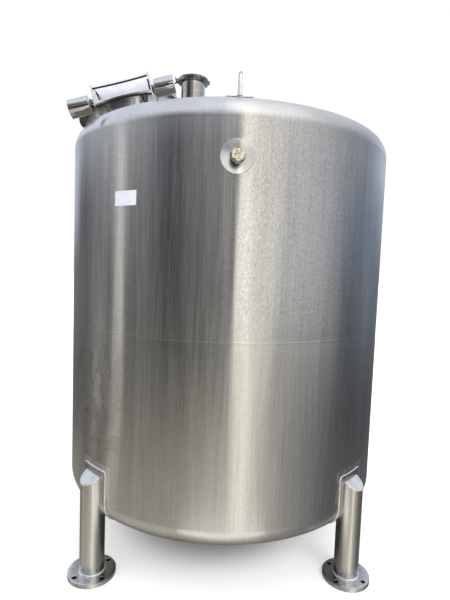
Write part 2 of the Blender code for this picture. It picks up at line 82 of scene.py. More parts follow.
def around(azimuth, radius=0.0, z=0.0):
    """A frame on the tank at an azimuth from the front: x to the side, y inwards, z up."""
    a = deg(azimuth)
    out = vec(math.sin(a), -math.cos(a), 0)
    return frame_at(out * radius + vec(0, 0, z), vec(math.cos(a), math.sin(a), 0), -out,
                    vec(0, 0, 1))


ZC = Z_TOP - math.sqrt((CROWN_R - KNUCKLE_R) ** 2 - (SHELL_R - KNUCKLE_R) ** 2)
TILT = math.asin(MANWAY_OFF / CROWN_R)
EX, EY, EZ = vec(math.cos(TILT), 0, math.sin(TILT)), vec(0, 1, 0), vec(0, 0, 1)
NORMAL = vec(-math.sin(TILT), 0, math.cos(TILT))
AXIS_V, AXIS_W = -0.335, 0.062
GROUND = frame_at((0, 0, 0), (1, 0, 0), EY, EZ)
MANWAY = frame_at(vec(-MANWAY_OFF, 0, ZC + math.sqrt(CROWN_R ** 2 - MANWAY_OFF ** 2)), EX, EY, NORMAL)
HINGE = frame_at(place(MANWAY, (0, AXIS_V, AXIS_W)), EY, NORMAL, EX)
print("crown centre at z =", round(ZC, 4), "- manway leans", round(math.degrees(TILT), 2), "degrees")

# %% [markdown]
# ## From points to a closed mesh
# A surface is a grid of points with rows and columns. `net` numbers its quads, `skin` closes it
# and hands it to Blender. Points that fall together, as at a pole, are merged, and the
# normals are worked out again so that every face looks outwards.

# %% The skin helper
MADE = []


def net(rows, cols, close_rows=False, close_cols=True):
    """Corner numbers of each quad of a grid; a closed way joins its last line to its first."""
    r = np.arange(rows if close_rows else rows - 1)
    c = np.arange(cols if close_cols else cols - 1)
    r, c = np.meshgrid(r, c, indexing="ij")
    r2, c2 = (r + 1) % rows, (c + 1) % cols
    return np.stack([r * cols + c, r * cols + c2, r2 * cols + c2, r2 * cols + c], -1).reshape(-1, 4)


def map_turn(mesh, at):
    """A UV map that runs once round the frame's z axis: u is the angle, v the radius. A face that
    crosses the seam keeps its corners together, because whole turns are taken off."""
    corners = np.zeros(len(mesh.loops), int)
    mesh.loops.foreach_get("vertex_index", corners)
    where = np.zeros(len(mesh.vertices) * 3)
    mesh.vertices.foreach_get("co", where)
    local = where.reshape(-1, 3)[corners] - at["o"]
    x, y = local @ at["x"], local @ at["y"]
    first = np.zeros(len(mesh.polygons), int)
    mesh.polygons.foreach_get("loop_start", first)
    u = np.arctan2(y, x) / TAU
    start = u[np.maximum(first[np.searchsorted(first, np.arange(len(u)), side="right") - 1], 0)]
    u = u - np.round(u - start)
    mesh.uv_layers.new(name="turn").data.foreach_set("uv", np.stack([u, np.hypot(x, y)], -1).ravel())


def to_blender(name, points, quads, finish, body="tank", cad=(), slot=None, sharp=38, turn=None):
    """Make one closed mesh from points and quads, smooth but for its sharp edges."""
    mesh = bpy.data.meshes.new(name)
    mesh.from_pydata(points.reshape(-1, 3).tolist(), [], quads.tolist())
    bm = bmesh.new()
    bm.from_mesh(mesh)
    bmesh.ops.remove_doubles(bm, verts=bm.verts, dist=3e-6)
    bmesh.ops.recalc_face_normals(bm, faces=bm.faces)
    bm.to_mesh(mesh)
    bm.free()
    if turn:
        map_turn(mesh, turn)
    mesh.shade_smooth()
    mesh.set_sharp_from_angle(angle=deg(sharp))
    mesh.materials.append(FINISH[finish])
    obj = bpy.data.objects.new(name, mesh)
    bpy.context.scene.collection.objects.link(obj)
    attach(obj, body)
    if cad:
        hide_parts(*cad)
    slot or SLOT[finish]
    MADE.append(obj)
    return obj


def skin(name, rings, finish, loop=False, **more):
    """Close a stack of rings (n, m, 3). Its ends shrink to their middles, or meet if it loops."""
    rings = np.asarray(rings, float)
    if not loop:
        first = np.broadcast_to(rings[:1].mean(1, keepdims=True), rings[:1].shape)
        last = np.broadcast_to(rings[-1:].mean(1, keepdims=True), rings[:1].shape)
        rings = np.concatenate([first, rings, last])
    return to_blender(name, rings, net(*rings.shape[:2], close_rows=loop), finish, **more)


def two_sided(name, outer, inner, finish, **more):
    """Two sheets that meet at their border. One faces outwards and the other inwards."""
    quads = net(*outer.shape[:2], close_cols=False)
    points = np.concatenate([outer.reshape(-1, 3), inner.reshape(-1, 3)])
    both = np.concatenate([quads, quads[:, ::-1] + len(points) // 2])
    return to_blender(name, points, both, finish, **more)


print("a grid of 3 by 4 points has", len(net(3, 4, close_cols=False)), "quads")

# %% [markdown]
# ## Outlines with rounded corners
# Real edges are never quite sharp: they are broken with a file or a grinding disc, and the
# small round catches the light. `rounded` puts an arc on each corner of an outline. The arc
# touches both sides, and its points are an even blend between the two touching points.

# %% Outline helpers
def rounded(corners, radius, closed=True, steps=4, keep_all=False):
    """Round an outline. Each arc starts radius/tan(half angle) before its corner, at most 0.45
    of the shorter side, and turns evenly to the same distance after it. Points that coincide
    are dropped, unless every section needs the same count."""
    p = np.asarray(corners, float)
    n = len(p)
    radius = np.broadcast_to(np.asarray(radius, float), (n,)).copy()
    if not closed:
        radius[[0, -1]] = 0
    back, ahead = np.roll(p, 1, 0) - p, np.roll(p, -1, 0) - p
    lb, la = np.linalg.norm(back, axis=1), np.linalg.norm(ahead, axis=1)
    back, ahead = back / np.maximum(lb, 1e-12)[:, None], ahead / np.maximum(la, 1e-12)[:, None]
    half = np.arccos(np.clip((back * ahead).sum(1), -1, 0.9999)) / 2
    reach = np.minimum(radius / np.tan(half), 0.45 * np.minimum(lb, la))
    arc = reach * np.tan(half)
    middle = back + ahead
    middle = middle / np.maximum(np.linalg.norm(middle, axis=1), 1e-9)[:, None]
    centre = p + middle * (arc / np.sin(half))[:, None]
    a, b = p + back * reach[:, None] - centre, p + ahead * reach[:, None] - centre
    turn = np.maximum(np.pi - 2 * half, 1e-6)
    w = np.linspace(0, 1, steps + 1)[None, :, None]
    turn = turn[:, None, None]
    points = (np.sin((1 - w) * turn) * a[:, None] + np.sin(w * turn) * b[:, None]) / np.sin(turn)
    points = points + centre[:, None]
    points[reach < 1e-9] = p[reach < 1e-9][:, None]
    points = points.reshape(-1, p.shape[1])
    apart = np.linalg.norm(points - np.roll(points, 1, 0), axis=1) > 1e-7
    apart[0] = True
    return points if keep_all else points[apart]


def inset(outline, depth):
    """Move a closed outline inwards: each point goes along the mean of its sides' normals."""
    p = np.asarray(outline, float)
    side = np.roll(p, -1, 0) - np.roll(p, 1, 0)
    side = side / np.maximum(np.linalg.norm(side, axis=1), 1e-12)[:, None]
    area = np.sum(p[:, 0] * np.roll(p[:, 1], -1) - p[:, 1] * np.roll(p[:, 0], -1))
    return p + np.sign(area) * depth * np.stack([-side[:, 1], side[:, 0]], -1)


print("a rounded square has", len(rounded([(0, 0), (1, 0), (1, 1), (0, 1)], 0.1)), "points")

# %% [markdown]
# ## Turned, swept and cut pieces
# A lathe turns an outline about an axis, so a point (r, h) becomes the circle
# (r cos a, r sin a, h). A bent bar is a circle carried along a path, and a sheet-metal
# plate is an outline with a thickness and two broken edges.

# %% Turned, swept and plate pieces
def ring(radius, height, count):
    """The circle (r cos a, r sin a, h), or one for each radius and height in two arrays."""
    a = np.arange(count) * TAU / count
    r, h = np.asarray(radius, float)[..., None], np.asarray(height, float)[..., None]
    return np.stack(np.broadcast_arrays(r * np.cos(a), r * np.sin(a), h), -1)


def lift(plan, height):
    """Give the points (x, y) of a plan a height: one for all, or one for each."""
    return np.column_stack([plan, np.broadcast_to(height, len(plan))])


def turned(name, outline, at, finish, count=96, soft=None, steps=4, **more):
    """Turn an outline of (radius, height) about the local z axis. soft rounds its corners; an
    outline that starts off the axis is closed, and one that starts on it is open."""
    closed = outline[0][0] > 1e-9
    if soft is not None:
        outline = rounded(outline, soft, closed, steps)
    r, h = np.asarray(outline, float).T
    return skin(name, place(at, ring(r, h, count)), finish, loop=bool(closed), **more)


def swept(name, path, normal, radius, finish, flat=1.0, closed=False, around_it=16, **more):
    """Carry an ellipse along a path: p + R (cos a * N + sin a * T x N), where T is the path's
    direction, N the normal, and flat is the height of the ellipse over its width."""
    p = np.asarray(path, float)
    if closed:
        t = np.roll(p, -1, 0) - np.roll(p, 1, 0)
    else:
        t = np.gradient(p, axis=0)
    t = t / np.linalg.norm(t, axis=1)[:, None]
    n = np.broadcast_to(np.asarray(normal, float), p.shape)
    n = n - (n * t).sum(1)[:, None] * t
    n = n / np.linalg.norm(n, axis=1)[:, None]
    r = np.full(len(p), float(radius))
    if not closed:
        c = 0.2 * radius
        p = np.concatenate([p[:1], p[:1] + t[:1] * c, p[1:-1], p[-1:] - t[-1:] * c, p[-1:]])
        t = np.concatenate([t[:1], t, t[-1:]])
        n = np.concatenate([n[:1], n, n[-1:]])
        r = np.concatenate([[radius - c], r, [radius - c]])
    a = np.arange(around_it) * TAU / around_it
    s = np.cross(t, n)
    rings = p[:, None] + r[:, None, None] * (flat * np.cos(a)[None, :, None] * n[:, None]
                                             + np.sin(a)[None, :, None] * s[:, None])
    return skin(name, rings, finish, loop=closed, **more)


def weld(name, path, normal, radius, finish="weld_metal", flat=0.7, closed=True, around_it=8):
    """A weld bead along a joint."""
    return swept("weld_" + name, path, normal, radius, finish, flat, closed, around_it)


def plate(name, outline, low, high, at, finish, edge=0.0008, hole=None, **more):
    """Cut a plate from sheet: an outline in local (x, y), from low to high along z, its edges
    broken by edge. With a hole, each outline point has a partner on the hole at its own angle."""
    p = np.asarray(outline, float)
    levels = [(edge, low), (0, low + edge), (0, high - edge), (edge, high)]
    rings = [lift(inset(p, e), z) for e, z in levels]
    if hole:
        bore = hole * p / np.linalg.norm(p, axis=1)[:, None]
        rings += [lift(bore, z) for z in (high, low)]
    return skin(name, place(at, np.array(rings)), finish, loop=bool(hole), **more)


def smooth_step(x, low, high):
    """0 below low, 1 above high, and 3t^2 - 2t^3 between them."""
    t = np.clip((x - low) / (high - low), 0, 1)
    return t * t * (3 - 2 * t)


print("four points of a ring:", np.round(ring(1, 0, 4), 3).tolist())

# %% [markdown]
# ## Shader helpers
# A finish is a small node tree. `Value` wraps one output of a node, so that plain arithmetic adds
# the math nodes, and `Tree` makes all the others. Effects that several finishes share are node
# groups: they put out only heights and masks, and each material places them with its own values.

# %% Values and node trees
class Value:
    """One output of a node. Arithmetic on it, and its methods, add the nodes that they need."""

    def __init__(self, owner, socket):
        self.owner, self.socket = owner, socket

    def math(self, how, other=0.0, clamp=False):
        return self.owner.math(how, self, other, clamp)

    def __add__(self, other):
        return self.math("ADD", other)

    def __sub__(self, other):
        return self.math("SUBTRACT", other)

    def __rsub__(self, other):
        return self.owner.math("SUBTRACT", other, self)

    def __mul__(self, other):
        return self.math("MULTIPLY", other)

    __radd__, __rmul__ = __add__, __mul__

    def abs(self):
        return self.math("ABSOLUTE")

    def hypot(self, other):
        return (self * self + other * other).math("SQRT")

    def ramp(self, a, b, c=0.0, d=1.0):
        """A smooth step from c, where the value is a, to d, where it is b."""
        return self.owner.add("ShaderNodeMapRange", props={"interpolation_type": "SMOOTHSTEP"},
                              i0=self, i1=a, i2=b, i3=c, i4=d)


class Tree:
    """A node tree. add makes a node and wires or sets its inputs, by name or as i0, i1 and so on."""
    spot = None

    def __init__(self, tree):
        self.tree = tree

    def put(self, socket, value):
        """Wire a value into a socket or set it to a constant. One number stands for a grey."""
        if isinstance(value, Value):
            self.tree.links.new(value.socket, socket)
        elif socket.type == "RGBA":
            socket.default_value = (*(value if isinstance(value, tuple) else (value,) * 3), 1)
        else:
            socket.default_value = value

    def add(self, kind, out=0, props=None, **inputs):
        node = self.tree.nodes.new(kind)
        for key, value in (props or {}).items():
            setattr(node, key, value)
        for key, value in inputs.items():
            self.put(node.inputs[int(key[1:]) if key[1:].isdigit() else key], value)
        return Value(self, node.outputs[out]) if node.outputs else None

    def math(self, how, a, b=0.0, clamp=False):
        return self.add("ShaderNodeMath", props={"operation": how, "use_clamp": clamp}, i0=a, i1=b)

    def vector(self, how, a, b=(0, 0, 0)):
        out = int(how in ("LENGTH", "DOT_PRODUCT"))
        return self.add("ShaderNodeVectorMath", out, {"operation": how}, i0=a, i1=b)

    def stretch(self, scale, at=None):
        return self.vector("MULTIPLY", at or self.spot, scale)

    def split(self, vector):
        node = self.tree.nodes.new("ShaderNodeSeparateXYZ")
        self.put(node.inputs[0], vector)
        return [Value(self, socket) for socket in node.outputs]

    def noise(self, scale, detail=3.0, rough=0.55, warp=0.0, at=None):
        return self.add("ShaderNodeTexNoise", Vector=at or self.spot, Scale=scale, Detail=detail,
                        Roughness=rough, Distortion=warp)

    def mix(self, share, a, b):
        return self.add("ShaderNodeMix", 2, {"data_type": "RGBA"}, i0=share, i6=a, i7=b)

    def layers(self, colour, *layers):
        """Lay colours over a first one. Each layer is (mask, strength, colour)."""
        for mask, strength, over in layers:
            colour = self.mix(mask * strength, colour, over)
        return colour


def new_group(name, inputs, outputs):
    """A shader node group. Its inputs have default values, and its outputs are numbers."""
    tree = bpy.data.node_groups.new(name, "ShaderNodeTree")
    for label, value in inputs.items():
        kind = "NodeSocketVector" if isinstance(value, tuple) else "NodeSocketFloat"
        tree.interface.new_socket(label, in_out="INPUT", socket_type=kind).default_value = value
    for label in outputs:
        tree.interface.new_socket(label, in_out="OUTPUT", socket_type="NodeSocketFloat")
    t = Tree(tree)
    starts = tree.nodes.new("NodeGroupInput").outputs
    ends = tree.nodes.new("NodeGroupOutput").inputs
    return t, {label: Value(t, starts[label]) for label in inputs}, ends


print("a tree can:", [k for k, v in vars(Tree).items() if callable(v) and k[0] != "_"])

# %% [markdown]
# ## Shared effects
# **Grain** is what an abrasive belt leaves: long thin lines. Noise whose space is squeezed
# along one axis gives them. **Pits** are tiny dark dashes in the rolled sheet, **stains** are
# the cloudy marks of water and cleaning fluid, and **ground** is the swirl of a hand grinder.

# %% Node groups: grain, pits, stains, ground
ORIGIN = (0.0, 0.0, 0.0)
t, g, out = new_group("Grain", {"Place": ORIGIN, "Stretch": (1.0, 1.0, 1.0), "Fine": 300.0, "Wide": 40.0},
                      ["Height", "Streak"])
space = t.stretch(g["Stretch"], g["Place"])
t.put(out["Height"], t.noise(g["Fine"], 2, 0.6, at=space))
t.put(out["Streak"], t.noise(g["Wide"], 4, 0.65, at=space).ramp(0.32, 0.68))

t, g, out = new_group("Pits", {"Place": ORIGIN, "Scale": 150.0, "Amount": 0.5}, ["Mask"])
dots = t.noise(g["Scale"], 2, 0.7, at=t.stretch((1, 1, 0.28), g["Place"]))
clouds = t.noise(3.5, at=g["Place"]).ramp(0.42, 0.66)
level = 0.76 - g["Amount"] * (clouds * 0.22)
t.put(out["Mask"], (dots - level).math("MULTIPLY", 16.0, True))

t, g, out = new_group("Stains", {"Place": ORIGIN, "Scale": 6.0, "Cover": 0.5}, ["Mask", "Rim"])
cloud = t.noise(g["Scale"], 6, 0.68, 0.6, at=t.stretch((1, 1, 0.55), g["Place"]))
over = cloud - (0.74 - g["Cover"] * 0.36)
t.put(out["Mask"], over.ramp(0.0, 0.05))
t.put(out["Rim"], 1.0 - over.abs().math("MULTIPLY", 40.0, True))

t, g, out = new_group("Ground", {"Place": ORIGIN, "Scale": 30.0}, ["Height", "Tone"])
swirl = t.noise(g["Scale"], 2, 0.5, 1.5, at=g["Place"])
t.put(out["Height"], ((swirl * 90.0).math("SINE") + 1.0) * 0.5)
t.put(out["Tone"], t.noise(g["Scale"] * 0.6, 4, 0.6, at=g["Place"]).ramp(0.3, 0.7))
print("node groups:", [x.name for x in bpy.data.node_groups])

# %% [markdown]
# ## The finishes
# Stainless steel is a metal, so its colour is what it reflects: about 60 percent of the light,
# a shade warm. What changes from part to part is how it was finished. The wall has a
# drawn grain that smears reflections up and down, the fittings are polished, the
# ends are satin, and the pads and caps were ground by hand.

# %% Start the materials
FINISH, SLOT = {}, {}


class Surface(Tree):
    """A Principled material. The constants are the same all over it, so they sit on its sockets."""

    def __init__(self, name, slot, metal=1.0, drawn=0.0, **constants):
        material = bpy.data.materials.new(name)
        material.use_nodes = True
        super().__init__(material.node_tree)
        self.shader = self.tree.nodes["Principled BSDF"].inputs
        self.shader["Metallic"].default_value = metal
        self.shader["Anisotropic"].default_value = drawn
        for key, value in constants.items():
            self.shader[key.replace("_", " ")].default_value = value
        self.spot = self.add("ShaderNodeTexCoord", 3)
        FINISH[name], SLOT[name] = material, slot

    def use(self, name, **inputs):
        """Place a node group and return its outputs."""
        node = self.tree.nodes.new("ShaderNodeGroup")
        node.node_tree = bpy.data.node_groups[name]
        for key, value in dict(inputs, Place=self.spot).items():
            self.put(node.inputs[key], value)
        return [Value(self, socket) for socket in node.outputs]

    def grain(self, stretch, fine, wide):
        return self.use("Grain", Stretch=stretch, Fine=fine, Wide=wide)

    def lines_round(self):
        """Let the drawn lines run round a turned face, by its own UV map."""
        tangent = self.add("ShaderNodeTangent", props={"direction_type": "UV_MAP", "uv_map": "turn"})
        self.put(self.shader["Tangent"], tangent)

    def wire(self, colour, rough, height, strength, distance):
        """Feed a colour, a roughness and a bump height into the shader."""
        self.put(self.shader["Base Color"], colour)
        self.put(self.shader["Roughness"], rough)
        bump = self.add("ShaderNodeBump", Height=height, Strength=strength, Distance=distance)
        self.put(self.shader["Normal"], bump)


print("a surface is a tree with a finish name and a slot; so far there are", len(FINISH))

# %% [markdown]
# ### The wall
# The sheet was drawn upwards under a belt. A picture of scratches would repeat and blur when seen
# from near, so squeezed noise draws the lines, and an anisotropic shader smears what they
# reflect. Masks in height and azimuth place the worn zone, the stains and the bands by the legs.

# %% The wall's brushed sheet
UPWARD = 0.25        # a quarter turn, so that the lines run up
t = Surface("wall_sheet", "shell", drawn=0.93, Anisotropic_Rotation=UPWARD)
x, y, z = t.split(t.spot)
fine, streak = t.grain((1, 1, 0.016), 420, 170)
broad = t.grain((1, 1, 0.05), 60, 24)[1]
across = t.grain((0.10, 0.10, 1), 300, 190)[1]
speck = t.noise(260, 2, 0.7, at=t.stretch((1, 1, 0.34)))
pits = t.use("Pits", Scale=330, Amount=0.75)[0]
azimuth = x.math("ARCTAN2", y * -1.0)
beside_leg = (x.abs().math("ARCTAN2", y.abs()) - deg(45)).abs()
band = beside_leg.ramp(deg(8.2), deg(7.6)) * z.ramp(0.552, 0.541) * t.noise(14).ramp(0.30, 0.52)
front_high = azimuth.ramp(deg(-4), deg(3)) * azimuth.ramp(deg(52), deg(30)) * z.ramp(1.05, 1.35)
left_low = azimuth.ramp(deg(-30), deg(-38)) * azimuth.ramp(deg(-104), deg(-78))
left_low = left_low * (z.ramp(0.58, 0.66) * z.ramp(1.14, 1.02))
worn = front_high.math("MAXIMUM", left_low) * 0.65 + 0.35
stain, stain_rim = t.use("Stains", Scale=14, Cover=0.60)
marks, rim = stain * left_low, stain_rim * left_low
runs = (t.noise(85, 1, at=t.stretch((1, 1, 0.012))) - 0.70).math("MULTIPLY", 11.0, True)
runs = runs * t.noise(2.2).ramp(0.5, 0.6)
lower = z.ramp(Z_WELD + 0.002, Z_WELD - 0.002)
seam = (z - Z_WELD).abs().ramp(0.004, 0.001)
calm = z.ramp(1.93, 2.035)
tone = streak * 0.43 + broad * 0.36 + across * 0.21
tone = tone + (calm * 0.65) * (0.5 - tone)
col = t.layers(t.mix(tone, (0.490, 0.487, 0.483), (0.725, 0.723, 0.720)),
               (speck.ramp(0.54, 0.66) * worn, 0.60, 0.86),
               (speck.ramp(0.46, 0.34) * worn, 0.60, (0.38, 0.37, 0.36)),
               (lower, 0.35, (0.57, 0.56, 0.54)), (pits, 0.60, (0.30, 0.29, 0.27)),
               (marks, 0.42, (0.38, 0.34, 0.29)), (rim, 0.68, (0.25, 0.22, 0.18)),
               (runs, 0.55, (0.30, 0.29, 0.27)), (band, 0.7, (0.86, 0.86, 0.865)), (seam, 0.4, 0.72))
rough = 0.180 + streak * 0.04 + broad * 0.03 + marks * 0.10 + band * 0.06 + calm * 0.05
t.wire(col, rough, (fine + streak * 0.35 - pits * 0.8) * (1.0 - calm * 0.85), 0.05, 0.0005)

print("wall sheet:", len(t.tree.nodes), "nodes")

# %% [markdown]
# ### Ends, leg pipes and pads
# The ends are satin from a finer belt, and marked by water. The pipes were bought with their
# lathe rings on them and got scuffed later. All of them use the wall's grain, only softer.

# %% Satin ends, leg pipes and pads
t = Surface("satin_end", "shell", drawn=0.92, Anisotropic_Rotation=UPWARD)
x, y, z = t.split(t.spot)
rim_share = x.hypot(y).ramp(0.841, 0.8495)
cloud = t.noise(9, 4, 0.6)
pits = t.use("Pits", Scale=330, Amount=0.5)[0]
satin = t.mix(cloud.ramp(0.35, 0.65), (0.60, 0.60, 0.595), (0.68, 0.68, 0.675))
brushed = t.mix(t.grain((1, 1, 0.016), 420, 170)[1], (0.585, 0.58, 0.575), (0.665, 0.665, 0.66))
col = t.layers(t.mix(rim_share, satin, brushed),
               (t.use("Stains", Scale=4, Cover=0.4)[1], 0.20, (0.50, 0.49, 0.47)),
               (pits, 0.4, (0.38, 0.37, 0.35)))
t.wire(col, 0.25 + cloud * 0.06 - rim_share * 0.07, pits, 0.05, 0.0003)

t = Surface("leg_pipe_steel", "leg", drawn=0.45, Anisotropic_Rotation=UPWARD)
turns, turn_streak = t.grain((0.06, 0.06, 1), 600, 260)
scuff = t.use("Stains", Scale=26, Cover=0.30)[0]
# The pipe gets cooler and a little lighter towards its foot.
low = t.split(t.spot)[2].ramp(0.36, 0.05)
col = t.layers(t.mix(t.grain((1, 1, 0.03), 500, 150)[1], (0.62, 0.605, 0.585), (0.72, 0.705, 0.685)),
               (low, 0.35, (0.66, 0.68, 0.72)), (turn_streak, 0.15, (0.50, 0.485, 0.46)),
               (scuff, 0.35, (0.42, 0.385, 0.34)))
t.wire(col, 0.26 + scuff * 0.08, turns, 0.03, 0.0003)

t = Surface("pad_sheet", "leg", drawn=0.8, Anisotropic_Rotation=UPWARD)
fine, streak = t.grain((1, 1, 0.03), 420, 90)
t.wire(t.mix(streak, (0.50, 0.495, 0.48), (0.70, 0.695, 0.685)), 0.19 + streak * 0.06, fine, 0.06, 0.0004)

print("pads:", len(t.tree.nodes), "nodes")

# %% [markdown]
# ### Ground steel
# A hand grinder leaves swirls that scatter light, so these parts look pale. The port's disc was faced on a
# lathe, so its lines run round by a map of its own. It has a painted shadow under the plug, painted shade
# towards its bottom, and a pale, less metallic sector on its lower left that is a painted highlight. All of
# them are made from the place on the disc.

# %% Hand-ground steel
t = Surface("hand_ground", "ground_steel")
x, y, z = t.split(t.spot)
swirl, tone = t.use("Ground", Scale=34)
# Above z 0.8 these parts get darker and bluer towards the tank's left.
darker_left_up_top = x.ramp(0.5, -0.5) * z.ramp(1.0, 0.8)
col = t.layers(t.mix(tone, (0.76, 0.76, 0.765), (0.96, 0.955, 0.955)), (darker_left_up_top, 0.50, (0.55, 0.555, 0.57)))
t.wire(col, 0.44 + swirl * 0.10, swirl, 0.22, 0.0004)

# %% The port's faced disc
t = Surface("faced_disc", "ground_steel", drawn=0.95, Anisotropic_Rotation=UPWARD)
x, y, z = t.split(t.spot)
rings = t.noise(55, 4, 0.6)
drop = PORT_Z - z
# Painted shadow of the plug: a dark ellipse just below it and a little to its left.
shadow_x, shadow_z = (x + 0.009) * (1 / 0.026), (drop - 0.024) * (1 / 0.030)
plug_shadow_painted = (shadow_x * shadow_x + shadow_z * shadow_z).ramp(1.35, 0.20)
# Painted highlight: a pale, less metallic sector on the lower left stands in for a reflected wedge.
to_side = x - 0.001
low_left = drop * 0.66 - to_side * 0.75
highlight_sector_painted = low_left.math("DIVIDE", to_side.hypot(drop)).ramp(0.10, 1.0)
# Painted shade: the disc gets darker towards its bottom.
col = t.layers(t.mix(rings.ramp(0.35, 0.65), (0.68, 0.69, 0.71), (0.76, 0.77, 0.79)),
               (drop.ramp(-0.015, 0.04), 0.5, (0.40, 0.40, 0.41)), (highlight_sector_painted, 1.0, (0.95, 0.955, 0.97)),
               (plug_shadow_painted, 0.95, (0.03, 0.028, 0.026)))
t.put(t.shader["Metallic"], 1.0 - highlight_sector_painted * 0.40)
t.wire(col, 0.13 + rings * 0.06, rings, 0.02, 0.0003)
t.lines_round()

print("faced disc:", len(t.tree.nodes), "nodes")

# %% [markdown]
# ### Welds and foot plates
# Weld beads are ripples of cast metal, paler than the sheet. The foot plates still have the scale of the mill
# on top and lathe lines on their rims, and the walls of their bolt holes are painted dark as shade.

# %% Weld metal and the turned foot plates
t = Surface("weld_metal", "leg", metal=0.55)
ripple = t.noise(420, 2)
col = t.mix(t.noise(60).ramp(0.4, 0.65), (0.90, 0.895, 0.88), (0.66, 0.63, 0.58))
t.wire(col, 0.20 + ripple * 0.12, ripple, 0.3, 0.0005)

t = Surface("foot_steel", "leg", drawn=0.85, Anisotropic_Rotation=UPWARD)
t.lines_round()
x, y, z = t.split(t.spot)
scale = t.noise(55, 5, 0.65)
lines = t.grain((0.12, 0.12, 1.0), 900, 260)[1]
dirt = t.use("Stains", Scale=38, Cover=0.5)[0]
side = z.ramp(0.0195, 0.0180)
leg_xy = LEG_CIRCLE * math.sqrt(0.5)
# Painted shade: the walls of the bolt holes are nearly black.
hole_shade_painted = side * (x.abs() - leg_xy).hypot(y.abs() - leg_xy).ramp(0.1065, 0.1045)
brown = t.mix(lines, (0.63, 0.60, 0.56), (0.93, 0.91, 0.89))
col = t.layers(t.mix(scale.ramp(0.35, 0.65), (0.52, 0.525, 0.53), (0.66, 0.665, 0.67)),
               (dirt, 0.25, (0.45, 0.42, 0.38)), (side, 0.8, brown), (hole_shade_painted, 1.0, (0.035, 0.03, 0.026)))
t.wire(col, 0.18 + scale * 0.12 + side * 0.16, scale, 0.06, 0.0004)

print("foot plates:", len(t.tree.nodes), "nodes")

# %% [markdown]
# ### Polished fittings
# The fittings are nearly mirrors, so their look is mostly what they reflect. Finger marks break
# it up a little. Dark masks under the manway's ring stand for what the tank shades there.

# %% Polished fittings
t = Surface("mirror_steel", "polished")
smudge = t.noise(22, 4, 0.6, 0.4).ramp(0.42, 0.72)
t.wire(t.mix(smudge, (0.80, 0.805, 0.82), 0.70), 0.06 + smudge * 0.07, t.noise(700, 1), 0.02, 0.0002)

t = Surface("neck_steel", "polished", drawn=0.85, Anisotropic_Rotation=UPWARD)
fine, streak = t.grain((0.2, 0.2, 1), 500, 90)
from_base = t.vector("SUBTRACT", t.spot, tuple(MANWAY["o"]))
high = t.vector("DOT_PRODUCT", from_base, tuple(NORMAL))
distance = t.vector("LENGTH", from_base)
reach = (distance * distance - high * high).math("SQRT")
# Painted shade: the ring's underside is nearly black and the neck darkens towards the ring. On the right side
# the painted shade is left off, and less metal makes it lighter.
under = reach.ramp(0.2565, 0.2590) * high.ramp(0.0975, 0.0950)
open_side = t.vector("DOT_PRODUCT", from_base, tuple(EX)).ramp(0.005, 0.085)
shade = high.ramp(0.040, 0.096) * reach.ramp(0.262, 0.256) * (1.0 - open_side)
col = t.layers(t.mix(streak, (0.66, 0.66, 0.655), 0.82), (shade, 0.75, 0.16), (under, 0.93, 0.035))
t.put(t.shader["Metallic"], 1.0 - open_side * 0.45)
t.wire(col, 0.32 + streak * 0.06, fine, 0.05, 0.0004)

t = Surface("barrel_steel", "polished")
smudge = t.noise(60, 4, 0.6, 0.4).ramp(0.42, 0.72)
turns = t.noise(500, 2, at=t.stretch((1, 0.1, 0.1)))
col = t.layers(t.mix(turns, (0.50, 0.50, 0.505), (0.62, 0.62, 0.625)), (smudge, 0.4, (0.46, 0.445, 0.43)))
t.wire(col, 0.03 + smudge * 0.05, turns, 0.02, 0.0002)

t = Surface("cast_steel", "polished")
skin_noise = t.noise(380, 3, 0.6)
col = t.mix(t.noise(60).ramp(0.35, 0.65), 0.12, (0.37, 0.37, 0.375))
t.wire(col, 0.16 + skin_noise * 0.10, skin_noise, 0.08, 0.0003)

t = Surface("bar_steel", "polished", metal=0.35)
wipe = t.noise(160, at=t.stretch((1, 1, 0.2)))
col = t.mix(wipe.ramp(0.35, 0.65), (0.84, 0.845, 0.86), (0.93, 0.93, 0.94))
# Painted shade: the bar darkens towards the edges that turn away from view.
col = t.mix(t.add("ShaderNodeLayerWeight", 1, Blend=0.5).ramp(0.30, 0.72), col, (0.16, 0.17, 0.19))
t.wire(col, 0.22 + wipe * 0.1, wipe, 0.04, 0.0003)

t = Surface("turned_steel", "polished", drawn=0.5)
fine, streak = t.grain((0.2, 0.2, 1), 700, 120)
smudge = t.noise(30, 4, 0.6, 0.4).ramp(0.42, 0.72)
col = t.layers(t.mix(streak, (0.60, 0.59, 0.575), (0.74, 0.735, 0.725)), (smudge, 0.4, (0.52, 0.50, 0.47)))
t.wire(col, 0.14 + smudge * 0.10, fine, 0.05, 0.0003)

print("turned steel:", len(t.tree.nodes), "nodes")

# %% [markdown]
# ### Plastic, rubber, cloth and paper
# These are no metals: they have a colour of their own and a soft shine. The plug is cloth wrung into a ball,
# so its creases are the borders of a cell pattern whose space is bent by noise. The creases and the plug's
# lower left flank are painted dark as shade.

# %% Plastic and rubber
t = Surface("black_knob", "knob", metal=0.0)
rub = t.noise(160, 4, 0.7).ramp(0.5, 0.75)
t.wire(t.mix(rub, (0.012, 0.012, 0.013), (0.05, 0.05, 0.052)), 0.30 + rub * 0.25, rub, 0.1, 0.0003)

# This dark rubber is the neck's seal, and on the cover it also makes bars of painted shade.
t = Surface("rubber_and_shade_lines", "gasket", metal=0.0, Specular_IOR_Level=0.2)
dust = t.noise(90, 5, 0.7).ramp(0.45, 0.8)
t.wire(t.mix(dust, 0.012, (0.05, 0.049, 0.045)), 0.6 + dust * 0.2, dust, 0.2, 0.0004)

